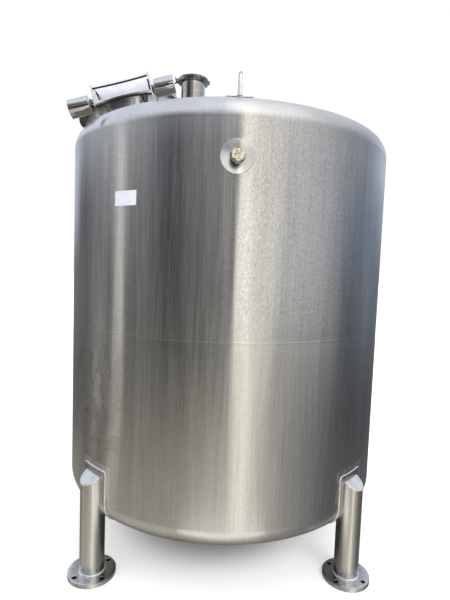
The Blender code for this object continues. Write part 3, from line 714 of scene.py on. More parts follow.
# %% The cloth plug
t = Surface("plug_cloth", "plug", metal=0.0, Sheen_Weight=0.2)
x, y, z = t.split(t.spot)
fold = t.noise(55, 5, 0.62, 0.8)
bend = t.stretch((0.020, 0.020, 0.020), t.add("ShaderNodeTexNoise", 1, Vector=t.spot, Scale=45))
crack = t.add("ShaderNodeTexVoronoi", props={"feature": "DISTANCE_TO_EDGE"},
              Vector=t.vector("ADD", t.spot, bend), Scale=44)
# Painted shade: the creases are dark.
lines = crack.ramp(0.10, 0.045) * t.noise(60, 1).ramp(0.50, 0.60)
low_left = x * -0.5 + (PORT_Z - z) * 0.87
# Painted shade on the plug's lower left flank.
flank_shade_painted = (y + low_left * 0.21).ramp(-SHELL_R - 0.0270, -SHELL_R - 0.0235)
col = t.layers(t.mix(fold.ramp(0.35, 0.7), (0.50, 0.455, 0.35), (0.73, 0.68, 0.555)),
               (lines, 0.9, (0.075, 0.05, 0.025)),
               (t.noise(105, 2).ramp(0.60, 0.66), 0.8, (0.14, 0.10, 0.05)),
               (flank_shade_painted, 0.8, (0.085, 0.07, 0.045)))
t.wire(col, 0.75 + fold * 0.15, fold - lines * 0.8, 0.7, 0.003)

# %% The label
t = Surface("label_paper", "shell", metal=0.0)
paper = t.noise(120, 5, 0.7)
band = t.noise(95, 1, at=t.stretch((0.15, 0.15, 1))).ramp(0.45, 0.62)
col = t.layers(t.mix(paper, (0.61, 0.63, 0.665), (0.67, 0.69, 0.725)), (band, 0.6, (0.52, 0.585, 0.72)),
               (t.use("Stains", Scale=30, Cover=0.3)[0], 0.15, (0.52, 0.51, 0.47)))
t.wire(col, 0.40 + paper * 0.2, paper, 0.06, 0.0005)
print("finishes:", ", ".join(FINISH))

# %% [markdown]
# ## The round wall
# Rolled sheet is never a perfect cylinder. It has shallow waves of a few tenths of a
# millimetre, too small to see, but they bend the reflections into upright streaks, and the
# girth weld draws the sheet in a little. The wall's radius is
# R + w(z) * sum of A sin(k a + p + q z) + bead(z), where w fades the waves at both ends.

# %% Wall
WAVES = vec(7, 12, 19, 31, 47, 68, 97)
SIZES = vec(0.30, 0.20, 0.14, 0.09, 0.055, 0.034, 0.020) * 1e-3
SHIFTS = vec(0.4, 2.1, 4.4, 1.3, 5.2, 3.3, 0.9)
DRIFTS = vec(0.5, -0.8, 0.9, -0.6, 1.1, -0.9, 0.7)


def wall_radius(angle, z):
    """R + fade(z) * waves(angle, z) + the girth weld's bead and the shallow valley round it."""
    fade = smooth_step(z, Z_LOW + 0.01, Z_LOW + 0.10) * smooth_step(-z, -Z_TOP + 0.01, -Z_TOP + 0.10)
    waves = (SIZES * np.sin(WAVES * angle[..., None] + SHIFTS + DRIFTS * z[..., None] * 2)).sum(-1)
    off = z - Z_WELD
    bead = 0.0004 * np.exp(-(off / 0.0028) ** 2) - 0.0007 * np.exp(-(off / 0.030) ** 2)
    return SHELL_R + fade * waves + bead


def wall(count=720):
    """Outer rows, close together at the weld, then three inner rows, joined top and bottom."""
    near = vec(0.06, 0.035, 0.02, 0.01, 0.006, 0.003)
    rows = np.concatenate([np.linspace(Z_LOW, Z_WELD - 0.08, 24), Z_WELD - near, [Z_WELD],
                           Z_WELD + near[::-1], np.linspace(Z_WELD + 0.08, Z_TOP, 26)])
    z, angle = np.meshgrid(rows, np.arange(count) * TAU / count, indexing="ij")
    r = wall_radius(angle, z)
    outer = np.stack([r * np.cos(angle), r * np.sin(angle), z], -1)
    inner = ring(np.full(3, SHELL_R - WALL), vec(Z_TOP, Z_WELD, Z_LOW), count)
    cad = ["shell_%s_%s" % (level, side) for level in ("lower", "upper")
           for side in ("front", "right", "back", "left")]
    return skin("wall", np.concatenate([outer, inner]), "wall_sheet", loop=True, cad=cad)


print("wall:", len(wall().data.polygons), "faces")

# %% [markdown]
# ## The dished ends
# Each end is pressed from one disc. Seen from the side it is an arc of 2 m and then an arc
# of 102 mm. The lower end has one hole in its middle, so it can simply be turned. The
# upper end has the manway off its middle, so its grid runs from the manway's edge to the
# tank's edge: row t of each ray lies at (1 - t) * hole + t * edge, lifted onto the head.

# %% Dished ends
def head_height(radius, offset=0.0):
    """Height of the upper head over the floor: the crown's arc inside, the knuckle's outside."""
    ring_r = SHELL_R - KNUCKLE_R
    join = (CROWN_R + offset) * ring_r / (CROWN_R - KNUCKLE_R)
    crown = ZC + np.sqrt((CROWN_R + offset) ** 2 - np.minimum(radius, join) ** 2)
    past = np.maximum(radius - ring_r, 0)
    knuckle = Z_TOP + np.sqrt(np.maximum((KNUCKLE_R + offset) ** 2 - past ** 2, 0))
    return np.where(radius <= join, crown, knuckle)


def dome_drop(distance):
    """How far the crown lies below the manway's base plane, as a negative height."""
    return np.sqrt(CROWN_R ** 2 - distance ** 2) - CROWN_R


def head_curve(offset, inner_radius, steps=(48, 26)):
    """Even steps of (radius, height over the tangent line) from a hole to the tangent line."""
    crown, knuckle, ring_r = CROWN_R + offset, KNUCKLE_R + offset, SHELL_R - KNUCKLE_R
    join = math.asin(ring_r / (CROWN_R - KNUCKLE_R))
    a = np.linspace(math.asin(inner_radius / crown), join, steps[0])
    b = np.linspace(join, np.pi / 2, steps[1])[1:]
    r = np.concatenate([crown * np.sin(a), ring_r + knuckle * np.sin(b)])
    h = np.concatenate([ZC - Z_TOP + crown * np.cos(a), knuckle * np.cos(b)])
    return np.column_stack([r, h])


def lower_end():
    outer, inner = head_curve(0, 0.023), head_curve(-WALL, 0.023)
    outline = np.concatenate([outer, inner[::-1]]) * vec(1, -1) + vec(0, Z_LOW)
    return turned("lower_end", outline, GROUND, "satin_end", 360, cad=["bottom_head"])


def upper_end(count=480, rows=84):
    """Rays from the manway's bore to the tank's edge, outer skin out and inner skin back."""
    hole = place(MANWAY, ring(BORE_R, dome_drop(BORE_R), count))[:, :2]
    centre = hole.mean(0)
    ray = hole - centre
    ray = ray / np.linalg.norm(ray, axis=1)[:, None]
    along = (centre * ray).sum(1)
    reach = -along + np.sqrt(along ** 2 + SHELL_R ** 2 - (centre ** 2).sum())
    edge = centre + ray * reach[:, None]
    t = 1 - (1 - np.linspace(0, 1, rows)) ** 2.1
    skins = []
    for offset in (0.0, -WALL):
        rim = edge * (SHELL_R + offset) / SHELL_R
        plan = hole + t[:, None, None] * (rim - hole)
        height = head_height(np.linalg.norm(plan, axis=-1), offset)
        skins.append(np.concatenate([plan, height[..., None]], -1))
    rings = np.concatenate([skins[0], skins[1][::-1]])
    return skin("upper_end", rings, "satin_end", loop=True, cad=["top_head"])


print("ends:", len(lower_end().data.polygons), len(upper_end().data.polygons), "faces")

# %% [markdown]
# ## The legs
# Each leg is a 114.3 mm pipe that stands half inside the outline of the tank. A curved pad
# spreads its load over the wall and a sloping plate closes its top, so no water stays there.
# The pipe's upper edge is worked out column by column: the slope where the pipe is outside
# the wall, and the underside of the pad where it is below the dished end.

# %% Leg values
LEG_R, LEG_WALL = DN100_R, 0.004
CAP_Z, CAP_SLOPE, CAP_T, PAD_T = 0.487, 0.557, 0.0046, 0.004
PAD_HALF, PAD_TOP, PAD_CORNER, PAD_LOW_R = deg(5.95), 0.517, 0.012, 0.765
FOOT_R, FOOT_T = 0.110, 0.020
LEGS = {"front_left": -45, "front_right": 45, "back_right": 135, "back_left": 225}
UNDER = SHELL_R + PAD_T + 0.0006


def low_point(azimuth, s, offset):
    """A point on the lower wall and the knuckle: s runs down from the pad's upper edge."""
    straight = PAD_TOP - Z_LOW
    beta = np.maximum(s - straight, 0) / KNUCKLE_R
    r = SHELL_R - KNUCKLE_R + (KNUCKLE_R + offset) * np.cos(beta)
    z = np.where(s < straight, PAD_TOP - s, Z_LOW - (KNUCKLE_R + offset) * np.sin(beta))
    return np.stack([r * np.sin(azimuth), -r * np.cos(azimuth), z], -1)


PAD_LENGTH = PAD_TOP - Z_LOW + KNUCKLE_R * math.acos(
    (PAD_LOW_R - SHELL_R + KNUCKLE_R) / (KNUCKLE_R + PAD_T))


def pad_half(s):
    """Half the pad's width at s: narrower by c - sqrt(c^2 - (c - s)^2) inside its corners."""
    c = PAD_CORNER
    end = np.minimum(s, PAD_LENGTH - s)
    cut = c - np.sqrt(np.maximum(c ** 2 - np.maximum(c - end, 0) ** 2, 0))
    return PAD_HALF - cut / SHELL_R


print("pad length:", round(PAD_LENGTH, 4), "- half its angle:", round(float(pad_half(0.1)), 4))

# %% [markdown]
# The pad is one sheet bent round the wall and under the knuckle, so it is laid out flat, by its
# length and its angle, and then wrapped. Its weld follows the same layout.

# %% The pad and its weld
def leg_pad(tag, azimuth):
    """A pillow: the outer skin rises to the sheet's thickness over 2 mm from its edge."""
    u = np.concatenate([[0, 0.0006, 0.0014, 0.0022, 0.004], np.linspace(0.012, 0.5, 12)])
    u = np.concatenate([u, 1 - u[-2::-1]])
    s = u * PAD_LENGTH
    v = np.sin((u * 2 - 1) * np.pi / 2)
    s, v = np.meshgrid(s, v, indexing="ij")
    a = deg(azimuth) + v * pad_half(s)
    edge = np.minimum(np.minimum(s, PAD_LENGTH - s), (1 - np.abs(v)) * pad_half(s) * SHELL_R)
    rise = PAD_T * np.sqrt(1 - (1 - np.clip(edge / 0.0022, 0, 1)) ** 2)
    two_sided("pad_" + tag, low_point(a, s, rise + 0.0001), low_point(a, s, 0.0001), "pad_sheet",
              cad=["leg_pad_" + tag], sharp=60)


def pad_weld(tag, azimuth):
    """The weld all round the pad: up one side, across the top and down the other."""
    s = np.linspace(PAD_LENGTH, PAD_CORNER, 50)
    k = np.linspace(0, np.pi / 2, 8)[1:-1]
    s = np.concatenate([s, PAD_CORNER * (1 - np.sin(k))])
    half = pad_half(s)
    a = np.concatenate([half, np.linspace(half[-1], -half[-1], 30)[1:-1], -half[::-1]])
    s = np.concatenate([s, np.zeros(28), s[::-1]])
    a = deg(azimuth) + a
    path = low_point(a, s, 0.0004)
    weld("pad_" + tag, path, low_point(a, s, 0.01) - path, 0.0027, flat=0.6, closed=False, around_it=10)


# %% [markdown]
# The pipe's top could be cut by a boolean, but that would leave long thin faces. Rows of
# points whose heights follow the cut give clean columns instead.

# %% The leg pipe
def leg_pipe(tag, azimuth):
    """A straight tube whose top height depends on the angle round it."""
    meet = math.acos((UNDER ** 2 - LEG_CIRCLE ** 2 - LEG_R ** 2) / (2 * LEG_CIRCLE * LEG_R))
    outside = np.linspace(-meet + 0.002, meet - 0.002, 70)
    inside = np.linspace(meet + 0.002, TAU - meet - 0.002, 60)
    a = np.concatenate([outside, inside])
    rho = np.sqrt(LEG_CIRCLE ** 2 + 2 * LEG_CIRCLE * LEG_R * np.cos(a) + LEG_R ** 2)
    ring_r = SHELL_R - KNUCKLE_R
    under = Z_LOW - np.sqrt(np.maximum((UNDER - ring_r) ** 2 - np.maximum(rho - ring_r, 0) ** 2, 0))
    slope = CAP_Z - CAP_T - 0.0003 - CAP_SLOPE * LEG_R * np.cos(a)
    top = np.where(np.arange(len(a)) < len(outside), slope, np.minimum(under, slope))
    share = np.linspace(0, 1, 10)
    low = FOOT_T + 0.0003
    rings = []
    for r, shares in ((LEG_R, share), (LEG_R - LEG_WALL, share[::-9])):
        z = low + shares[:, None] * (top - low)
        rings.append(np.stack(np.broadcast_arrays(r * np.sin(a), -r * np.cos(a), z), -1))
    skin("pipe_" + tag, place(around(azimuth, LEG_CIRCLE), np.concatenate(rings)), "leg_pipe_steel",
         loop=True, cad=["leg_pipe_" + tag])


# %% [markdown]
# The cap is a flat plate on the pipe's slope. It is round outside and hollow against the wall, so
# rays from one point inside it find both borders.

# %% The sloping cap
def leg_cap(tag, azimuth):
    """The sloping plate: rays from a point outside the wall to the pipe's circle or the pad's
    surface, whichever is nearer. Its edge is broken by one millimetre."""
    a = np.arange(144) * TAU / 144
    d = np.stack([np.sin(a), -np.cos(a)], -1)
    c = vec(0, -0.022)
    along = d @ c
    to_pipe = -along + np.sqrt(along ** 2 + (LEG_R + 0.0004) ** 2 - c @ c)
    e = c - vec(0, LEG_CIRCLE)
    b = d @ e
    inside = b ** 2 - (e @ e - UNDER ** 2)
    to_wall = np.where((inside > 0) & (b < 0), -b - np.sqrt(np.maximum(inside, 0)), 9.0)
    reach = np.minimum(to_pipe, np.where(to_wall > 0, to_wall, 9.0))
    rings = [(share * (reach - 0.0012), 0.0) for share in (0.0, 0.3, 0.6, 0.85, 1.0)]
    rings += [(reach - 0.0004, -0.0003), (reach, -0.0012), (reach, -CAP_T), (reach * 0.6, -CAP_T),
              (reach * 0.0, -CAP_T)]
    points = []
    for r, drop in rings:
        p = c + d * r[:, None]
        points.append(lift(p, CAP_Z + CAP_SLOPE * p[:, 1] + drop))
    at = around(azimuth, LEG_CIRCLE)
    skin("cap_" + tag, place(at, np.array(points)), "hand_ground", cad=["leg_cap_" + tag], sharp=50)
    b = np.linspace(-np.pi / 2, np.pi / 2, 60)
    base = LEG_R * np.stack([np.sin(b), -np.cos(b), 0 * b], -1)
    line = base + EZ * (CAP_Z - CAP_T + CAP_SLOPE * base[:, 1:2])
    weld("cap_" + tag, place(at, line), place(at, base) - at["o"], 0.0026, flat=0.5, closed=False,
         around_it=10)


# %% [markdown]
# ## Foot plates
# A foot is a round plate with four bolt holes. One quarter of the plate is a rectangle in
# (radius, angle) with a round hole in it. Every point of the rectangle's border has a partner
# on the hole, in the same direction from the hole's middle, and the sheet is the
# straight blend between the two. Four such quarters and a rim make the whole plate.

# %% Foot plates
HOLE_R, HOLE_CIRCLE, FOOT_MID = 0.0105, 0.089, 0.045


def quarter_border(r_in, r_out, n=14):
    """Points round a quarter of a ring as (radius, angle), outer arc first."""
    q = np.pi / 4
    arc = np.linspace(-q, q, n)
    side = np.linspace(0, 1, 6)[1:-1]
    r = np.concatenate([np.full(n, r_out), r_out + (r_in - r_out) * side, np.full(n, r_in),
                        r_in + (r_out - r_in) * side])
    a = np.concatenate([arc, np.full(4, q), arc[::-1], np.full(4, -q)])
    return r, a


def foot(tag, azimuth):
    """Quarter sheets top and bottom, with walled holes, then the rim and the middle disc."""
    at = around(azimuth, LEG_CIRCLE)
    r, a = quarter_border(FOOT_MID, FOOT_R - 0.0016)
    border = np.stack([r * np.sin(a), -r * np.cos(a)], -1)
    mid = vec(0, -HOLE_CIRCLE)
    away = border - mid
    away = away / np.linalg.norm(away, axis=1)[:, None]
    sheet = [lift(mid + away * (HOLE_R + 0.0008) * (1 - share) + (border - mid) * share, FOOT_T)
             for share in (1, 0.6, 0.25, 0)]
    sheet += [lift(mid + away * (HOLE_R + extra), z) for extra, z in
              ((0.0002, FOOT_T - 0.0006), (0, FOOT_T - 0.0016), (0, 0.0010), (0.0006, 0))]
    sheet = np.array(sheet + [lift(border, 0)])
    stacks = []
    for k in range(4):
        c, s = math.cos(k * np.pi / 2), math.sin(k * np.pi / 2)
        stacks.append(sheet @ np.array([[c, s, 0], [-s, c, 0], [0, 0, 1]]))
    b = np.arange(52) * TAU / 52 - np.pi / 4
    circle = np.stack([np.sin(b), -np.cos(b)], -1)
    rim = [(FOOT_R - 0.0016, FOOT_T), (FOOT_R - 0.0005, FOOT_T - 0.0005), (FOOT_R, FOOT_T - 0.0016),
           (FOOT_R, 0.0016), (FOOT_R - 0.0016, 0)]
    for rings in (rim, [(FOOT_MID, FOOT_T), (0, FOOT_T)], [(FOOT_MID, 0), (0, 0)]):
        stacks.append(np.array([lift(circle * radius, z) for radius, z in rings]))
    starts = np.cumsum([0] + [stack.shape[0] * stack.shape[1] for stack in stacks])
    quads = np.concatenate([net(*stack.shape[:2]) + start for stack, start in zip(stacks, starts)])
    points = np.concatenate([stack.reshape(-1, 3) for stack in stacks])
    to_blender("foot_" + tag, place(at, points), quads, "foot_steel", cad=["foot_flange_" + tag], turn=at)
    collar = [(LEG_R + 0.0002, FOOT_T + 0.0001), (LEG_R + 0.0062, FOOT_T + 0.0001),
              (LEG_R + 0.0020, FOOT_T + 0.0066), (LEG_R + 0.0002, FOOT_T + 0.0066)]
    turned("weld_foot_" + tag, collar, at, "weld_metal", soft=[0, 0.0012, 0.002, 0], steps=5)


for tag, azimuth in LEGS.items():
    leg_pad(tag, azimuth)
    pad_weld(tag, azimuth)
    leg_pipe(tag, azimuth)
    leg_cap(tag, azimuth)
    foot(tag, azimuth)
print("legs:", len(LEGS), "with", len(MADE) - 3, "pieces")

# %% [markdown]
# ## The side port
# A flat ground pad is let into the wall, with a short socket in it. Somebody has stuffed
# the socket with a pale plug. The plug is a turned knob pushed out of round by a few
# sine waves that run round and across it, which reads as wrung cloth.

# %% Side port and plug
PORT = frame_at((0, -SHELL_R, PORT_Z), (1, 0, 0), EZ, -EY)
askew = deg(0.65)
PAD = frame_at(PORT["o"], (math.cos(askew), math.sin(askew), 0), EZ, (math.sin(askew), -math.cos(askew), 0))
turned("port_pad", [(0.022, 0.0065), (0.0675, 0.0065), (0.0675, -0.0035), (0.022, -0.0035)], PAD,
       "faced_disc", 120, soft=[0, 0.0012, 0, 0], cad=["port_boss"], turn=PAD)
turned("port_socket", [(0.022, 0.0060), (0.0272, 0.0060), (0.0272, 0.024), (0.022, 0.024)], PORT,
       "cast_steel", 72, soft=[0, 0, 0.001, 0.001], slot="ground_steel")
weld("port", place(PORT, ring(0.0285, 0.0066, 120)), PORT["z"], 0.0018, "cast_steel")


PLUG_R = 0.0262


def plug():
    """A rounded knob: radius times 1 + waves round it (a) and up it (h), depth plus a crumple."""
    k = np.linspace(0, 1, 44)
    a = np.arange(96) * TAU / 96
    r = np.append(PLUG_R * np.sin(np.pi * k / 2) ** 0.55, [PLUG_R, 0.0258, 0.0215, 0.0215, 0.0])[:, None]
    h = np.append(0.0345 - 0.0115 * k ** 3, [0.0215, 0.0190, 0.0185, 0.006, 0.006])[:, None]
    waves = (0.055 * np.sin(3 * a + 0.6) + 0.055 * np.sin(5 * a + 2.0 + 40 * h)
             + 0.026 * np.sin(9 * a - 160 * h) + 0.016 * np.sin(14 * a + 4 + 220 * h))
    crumple = (0.0016 * np.sin(7 * a + 260 * r) * np.sin(130 * r + 1.0) + 0.0011 * np.sin(11 * a - 330 * r)
               + 0.0007 * np.sin(19 * a + 420 * r + 2))
    keep = (h > 0.0187) * 1.0
    r = r * (1 + waves * keep)
    h = h + crumple * keep * smooth_step(r, 0.001, 0.006)
    lean = np.clip((h - 0.0185) / 0.016, 0, 1)
    rings = np.stack([r * np.cos(a) + 0.0060 * lean - 0.0025, r * np.sin(a) + 0.0065 * lean - 0.0045, h], -1)
    return skin("port_cloth", place(PORT, rings), "plug_cloth", cad=["port_plug"], sharp=80)


print("plug:", len(plug().data.polygons), "faces")

# %% [markdown]
# ## The blank label
# A small white label sits on the upper left of the wall. It is kept bare: a thin curved plate
# whose grid is bent round the wall at R + 0.4 mm. Its face waves a little, as damp paper does.

# %% Label
def label(low_az=-36.5, high_az=-28.5, low_z=1.7012, high_z=1.763):
    """A flat outline bent round the wall: across becomes an angle, up stays up."""
    u, v = np.meshgrid(np.linspace(0, 1, 25), np.linspace(0, 1, 9))
    a = np.radians(low_az + (high_az - low_az) * u)
    z = low_z + (high_z - low_z) * v
    inside = (u > 0) & (u < 1) & (v > 0) & (v < 1)
    sheets = []
    for rise in ((0.00035 + 0.0007 * np.sin(u * 9 + v * 2) ** 2) * inside, 0 * u):
        r = SHELL_R + 0.0004 + rise
        sheets.append(np.stack([r * np.sin(a), -r * np.cos(a), z], -1))
    return two_sided("blank_label", *sheets, "label_paper")


print("label:", len(label().data.polygons), "faces")

# %% [markdown]
# ## Lifting eyes
# A round pad is welded flat on the dome, and a bar bent to a U stands square on it. The bar's
# path is two straight legs and half a circle between them.

# %% Lifting eyes
EYE_OFF, EYE_HALF = 0.730, 0.034


def lifting_eye(tag, azimuth):
    """The pad on the dome, the bent bar on it, a weld round each of its ends and one round the pad."""
    lean = math.asin(EYE_OFF / CROWN_R)
    forward = -around(azimuth)["y"]
    up = forward * math.sin(lean) + EZ * math.cos(lean)
    out = forward * math.cos(lean) - EZ * math.sin(lean)
    at = frame_at(forward * EYE_OFF + EZ * head_height(EYE_OFF), out, np.cross(up, out), up)
    disc = [(0, -0.0025), (0.0555, -0.0025), (0.0555, 0.004), (0, 0.004)]
    turned("eye_disc_" + tag, disc, at, "hand_ground", soft=0.0012, cad=["eye_pad_" + tag])
    bend = np.linspace(0, np.pi, 24)
    legs = np.linspace(0.004, 0.050, 8)
    x = np.concatenate([np.full(8, EYE_HALF), EYE_HALF * np.cos(bend), np.full(8, -EYE_HALF)])
    z = np.concatenate([legs, 0.053 + EYE_HALF * np.sin(bend), legs[::-1]])
    path = place(at, np.stack([x, 0 * x, z], -1))
    swept("eye_loop_" + tag, path, at["y"], 0.0070, "bar_steel", around_it=28, cad=["eye_bar_" + tag])
    for k, x0 in enumerate((EYE_HALF, -EYE_HALF)):
        line = ring(0.0085, 0.0045, 40) + vec(x0, 0, 0)
        weld("eye_%s_%d" % (tag, k), place(at, line), at["z"], 0.0034, "cast_steel", flat=1.0)
    weld("disc_" + tag, place(at, ring(0.0565, 0.0002, 40)), at["z"], 0.0030, "cast_steel", flat=0.6)


for tag, azimuth in (("front", 0.4), ("back", 180.4)):
    lifting_eye(tag, azimuth)
print("pieces so far:", len(MADE))

# %% [markdown]
# ## The clamped top nozzle
# A short pipe ends in a flat ferrule. A blank cap lies on it, and a clamp ring with slanted
# inner faces draws the two together when its wing nut is turned. All of it is turned
# but the nut's wings, which are a plate, and the lugs that carry the nut.

# %% Top nozzle
NX, NY, CLAMP_Z = -0.2045, -0.400, 2.342
NOZZLE = frame_at((NX, NY, 0), (1, 0, 0), EY, EZ)
foot_z = float(head_height(math.hypot(NX, NY)))
pipe = rounded([(DN100_R, foot_z - 0.020), (DN100_R, 2.3345), (0.065, 2.3350), (0.065, 2.3415),
                (0.05415, 2.3415), (0.05415, foot_z - 0.020)], [0, 0.002, 0.0006, 0.0006, 0, 0])
low_edge = pipe[:, 1] < foot_z - 0.01
grid = place(NOZZLE, ring(pipe[:, 0], pipe[:, 1], 120))
grid[low_edge, :, 2] = head_height(np.hypot(grid[..., 0], grid[..., 1])[low_edge]) - 0.002
skin("nozzle_neck", grid, "turned_steel", loop=True, cad=["nozzle_pipe"])
cap = [(0, 2.3418), (0.065, 2.3418), (0.065, 2.3500), (0.046, 2.3500), (0.043, 2.3478), (0, 2.3478)]
turned("nozzle_lid", cap, NOZZLE, "turned_steel", 120, soft=0.0010, cad=["nozzle_cap"])
clamp = [(0.0600, 2.3310), (0.0700, 2.3310), (0.0730, 2.3350), (0.0730, 2.3490), (0.0700, 2.3530),
         (0.0600, 2.3530), (0.0600, 2.3505), (0.0655, 2.3490), (0.0655, 2.3345), (0.0600, 2.3335)]
turned("nozzle_ring", clamp, NOZZLE, "cast_steel", 120, cad=["nozzle_clamp"],
       soft=[0.0008, 0.002, 0.002, 0.002, 0.002, 0.0008, 0, 0.001, 0.001, 0])
line = place(NOZZLE, ring(0.0585, 0, 120))
line[:, 2] = head_height(np.hypot(line[:, 0], line[:, 1]))
weld("nozzle", line, line - EZ * ZC, 0.0040)


def from_nozzle(azimuth, reach):
    """A place on the clamp at an azimuth from +X, the direction along its rim and the one outwards."""
    out = vec(math.cos(deg(azimuth)), math.sin(deg(azimuth)), 0)
    return vec(NX, NY, CLAMP_Z) + out * reach, np.cross(EZ, out), out


def clamp_nut():
    """Bolt, hub and wings on the ring's left, and a hinge lug on its right."""
    origin, side, out = from_nozzle(183, 0.0733)
    at = frame_at(origin, side, np.cross(out, side), out)
    bolt = [(0, -0.004), (0.0050, -0.004), (0.0050, 0.0035), (0.0070, 0.0040), (0.0065, 0.0085),
            (0.0040, 0.0100), (0, 0.0105)]
    turned("nozzle_nut", bolt, at, "cast_steel", 40, soft=0.0007, cad=["nozzle_clamp_bolt"])
    wing = rounded([(-0.0155, 0.0110), (-0.0150, 0.0155), (-0.0115, 0.0155), (-0.0050, 0.0085),
                    (0.0050, 0.0085), (0.0115, 0.0155), (0.0150, 0.0155), (0.0155, 0.0110),
                    (0.0060, 0.0030), (-0.0060, 0.0030)], 0.0015)
    flat = frame_at(at["o"], at["y"], at["z"], at["x"])
    plate("nozzle_wings", wing, -0.0022, 0.0022, flat, "cast_steel", edge=0.0006)
    for k, (turn, size) in enumerate(((9, 0.0052), (-9, 0.0052), (180, 0.007))):
        origin, side, out = from_nozzle(183 + turn, 0.0745)
        box = rounded([(-size, -0.008), (size, -0.008), (size, 0.008), (-size, 0.008)], 0.003)
        plate("nozzle_lug_%d" % k, box, -0.0045, 0.0042, frame_at(origin, side, EZ, out), "cast_steel",
              edge=0.001)


clamp_nut()
print("nozzle top at z =", max(h for r, h in clamp))

# %% [markdown]
# ## The manway neck
# The neck is a short wide pipe, square to the dome, with a flat ring on top. A rubber
# seal lies on the ring. The neck's lower edge stops inside the dome's sheet.

# %% Manway neck, ring, seal and posts
neck = [(BORE_R, -0.0175), (NECK_R, -0.0178), (NECK_R, FLANGE_LOW), (FLANGE_R, FLANGE_LOW),
        (FLANGE_R, FLANGE_HIGH), (BORE_R, FLANGE_HIGH)]
turned("neck", neck, MANWAY, "neck_steel", 192, soft=[0, 0, 0.003, 0.0015, 0.0015, 0.0008],
       cad=["manway_neck"])
turned("neck_seal", [(NECK_R, 0.1042), (0.278, 0.1042), (0.278, 0.1109), (NECK_R, 0.1109)], MANWAY,
       "rubber_and_shade_lines", 144, soft=0.0022, cad=["manway_gasket"])
line = place(MANWAY, ring(0.2555, dome_drop(0.2555), 200))
weld("neck", line, line - EZ * ZC, 0.0045)
for tag, v in (("front", -0.262), ("back", 0.262)):
    low = dome_drop(math.hypot(v, 0.065)) - 0.003
    at = dict(MANWAY, o=place(MANWAY, (-0.065, v, 0)))
    turned("post_" + tag, [(0, low), (0.010, low), (0.010, 0.0937), (0, 0.0937)], at, "mirror_steel", 48,
           soft=0.0012, cad=["neck_post_" + tag])
print("the neck's weld lies", round(float(-dome_drop(0.2555)) * 1000, 1), "mm under its base plane")

# %% [markdown]
# ## The hinge
# Two closed barrels hold the springs that carry the lid's weight. Each barrel is fixed to an upright
# bracket, and a shaft runs between the brackets. The barrels are turned, with a
# shallow recess and a screw in each outer end.

# %% Hinge
BARREL_R = 0.04445
BARRELS = {"left": (-0.2500, -0.1478), "right": (0.1838, 0.2800)}
BRACKETS = {"left": (-0.1475, -0.1415), "right": (0.1775, 0.1835)}


def barrel(tag, u0, u1):
    """A tube with rounded rims; the outer end is recessed by 4 mm and holds a screw."""
    r = BARREL_R
    if tag == "left":
        ends = [(0, u0 + 0.004), (r - 0.006, u0 + 0.004), (r - 0.0045, u0), (r, u0), (r, u1), (0, u1)]
        screw, way = u0 + 0.004, -1
    else:
        ends = [(0, u0), (r, u0), (r, u1), (r - 0.0045, u1), (r - 0.006, u1 - 0.004), (0, u1 - 0.004)]
        screw, way = u1 - 0.004, 1
    turned("barrel_" + tag, ends, HINGE, "barrel_steel", 120, soft=0.0025, cad=["hinge_barrel_" + tag])
    head = [(0, screw), (0.008, screw), (0.008, screw + way * 0.0030), (0, screw + way * 0.0036)]
    turned("barrel_screw_" + tag, head, HINGE, "turned_steel", 6, soft=0.0008, sharp=20)


def bracket(tag, u0, u1):
    """An upright plate: half a circle round the shaft, running down to the dome."""
    a = np.linspace(np.pi, 0, 25)
    low = -(0.1445 ** 2 + AXIS_V ** 2) / (2 * CROWN_R) - AXIS_W - 0.003
    top = np.stack([0.034 * np.cos(a), 0.034 * np.sin(a)], -1)
    side = np.linspace(0, 1, 10)[1:, None]
    left, right = vec(-0.030, low), vec(0.030, low)
    outline = np.concatenate([top, top[-1] + (right - top[-1]) * side,
                              (right + (left - right) * side)[:-1], left + (top[0] - left) * side[:-1]])
    plate("bracket_" + tag, outline, u0, u1, HINGE, "mirror_steel", cad=["hinge_bracket_" + tag])
    line = np.linspace(-0.030, 0.030, 30)
    for k, u in enumerate((u0, u1)):
        w = -(u ** 2 + (AXIS_V + line) ** 2) / (2 * CROWN_R)
        path = place(MANWAY, np.stack([np.full(30, u), AXIS_V + line, w], -1))
        weld("bracket_%s_%d" % (tag, k), path, NORMAL, 0.0028, flat=1.0, closed=False)


for tag in ("left", "right"):
    barrel(tag, *BARRELS[tag])
    bracket(tag, *BRACKETS[tag])
for tag, u0, u1 in (("left", -0.1410, -0.1230), ("right", 0.1690, 0.1770)):
    turned("washer_" + tag, [(0.0103, u0), (0.0215, u0), (0.0215, u1), (0.0103, u1)], HINGE, "cast_steel",
           64, soft=[0, 0.0012, 0.0012, 0])
turned("shaft", [(0, -0.1412), (0.010, -0.1412), (0.010, 0.1772), (0, 0.1772)], HINGE, "mirror_steel", 48,
       soft=0.0008, cad=["hinge_shaft"])
print("hinge axis at", np.round(HINGE["o"], 4).tolist())

# %% [markdown]
# ## The lid
# The lid is a shallow dish: its height over the flat rim is h (1 - (r / R)^2). A folded sheet
# bridges from its rim to the hinge shaft, between two cheeks, and is narrower in its middle.
# Everything here rides on the lid's body, so it swings with it.

# %% The dished lid
LID_W, RIM_T, RISE, DISH_R = 0.1110, 0.0147, 0.042, 0.240
COVER_U = (-0.1167, 0.1627)
LID = {"body": "manway_lid"}
top = LID_W + RIM_T


def dish(radius, edge, base):
    """Points of the dish: base + h (1 - (r / R)^2) over each radius."""
    return np.column_stack([radius, base + RISE * (1 - (radius / edge) ** 2)])


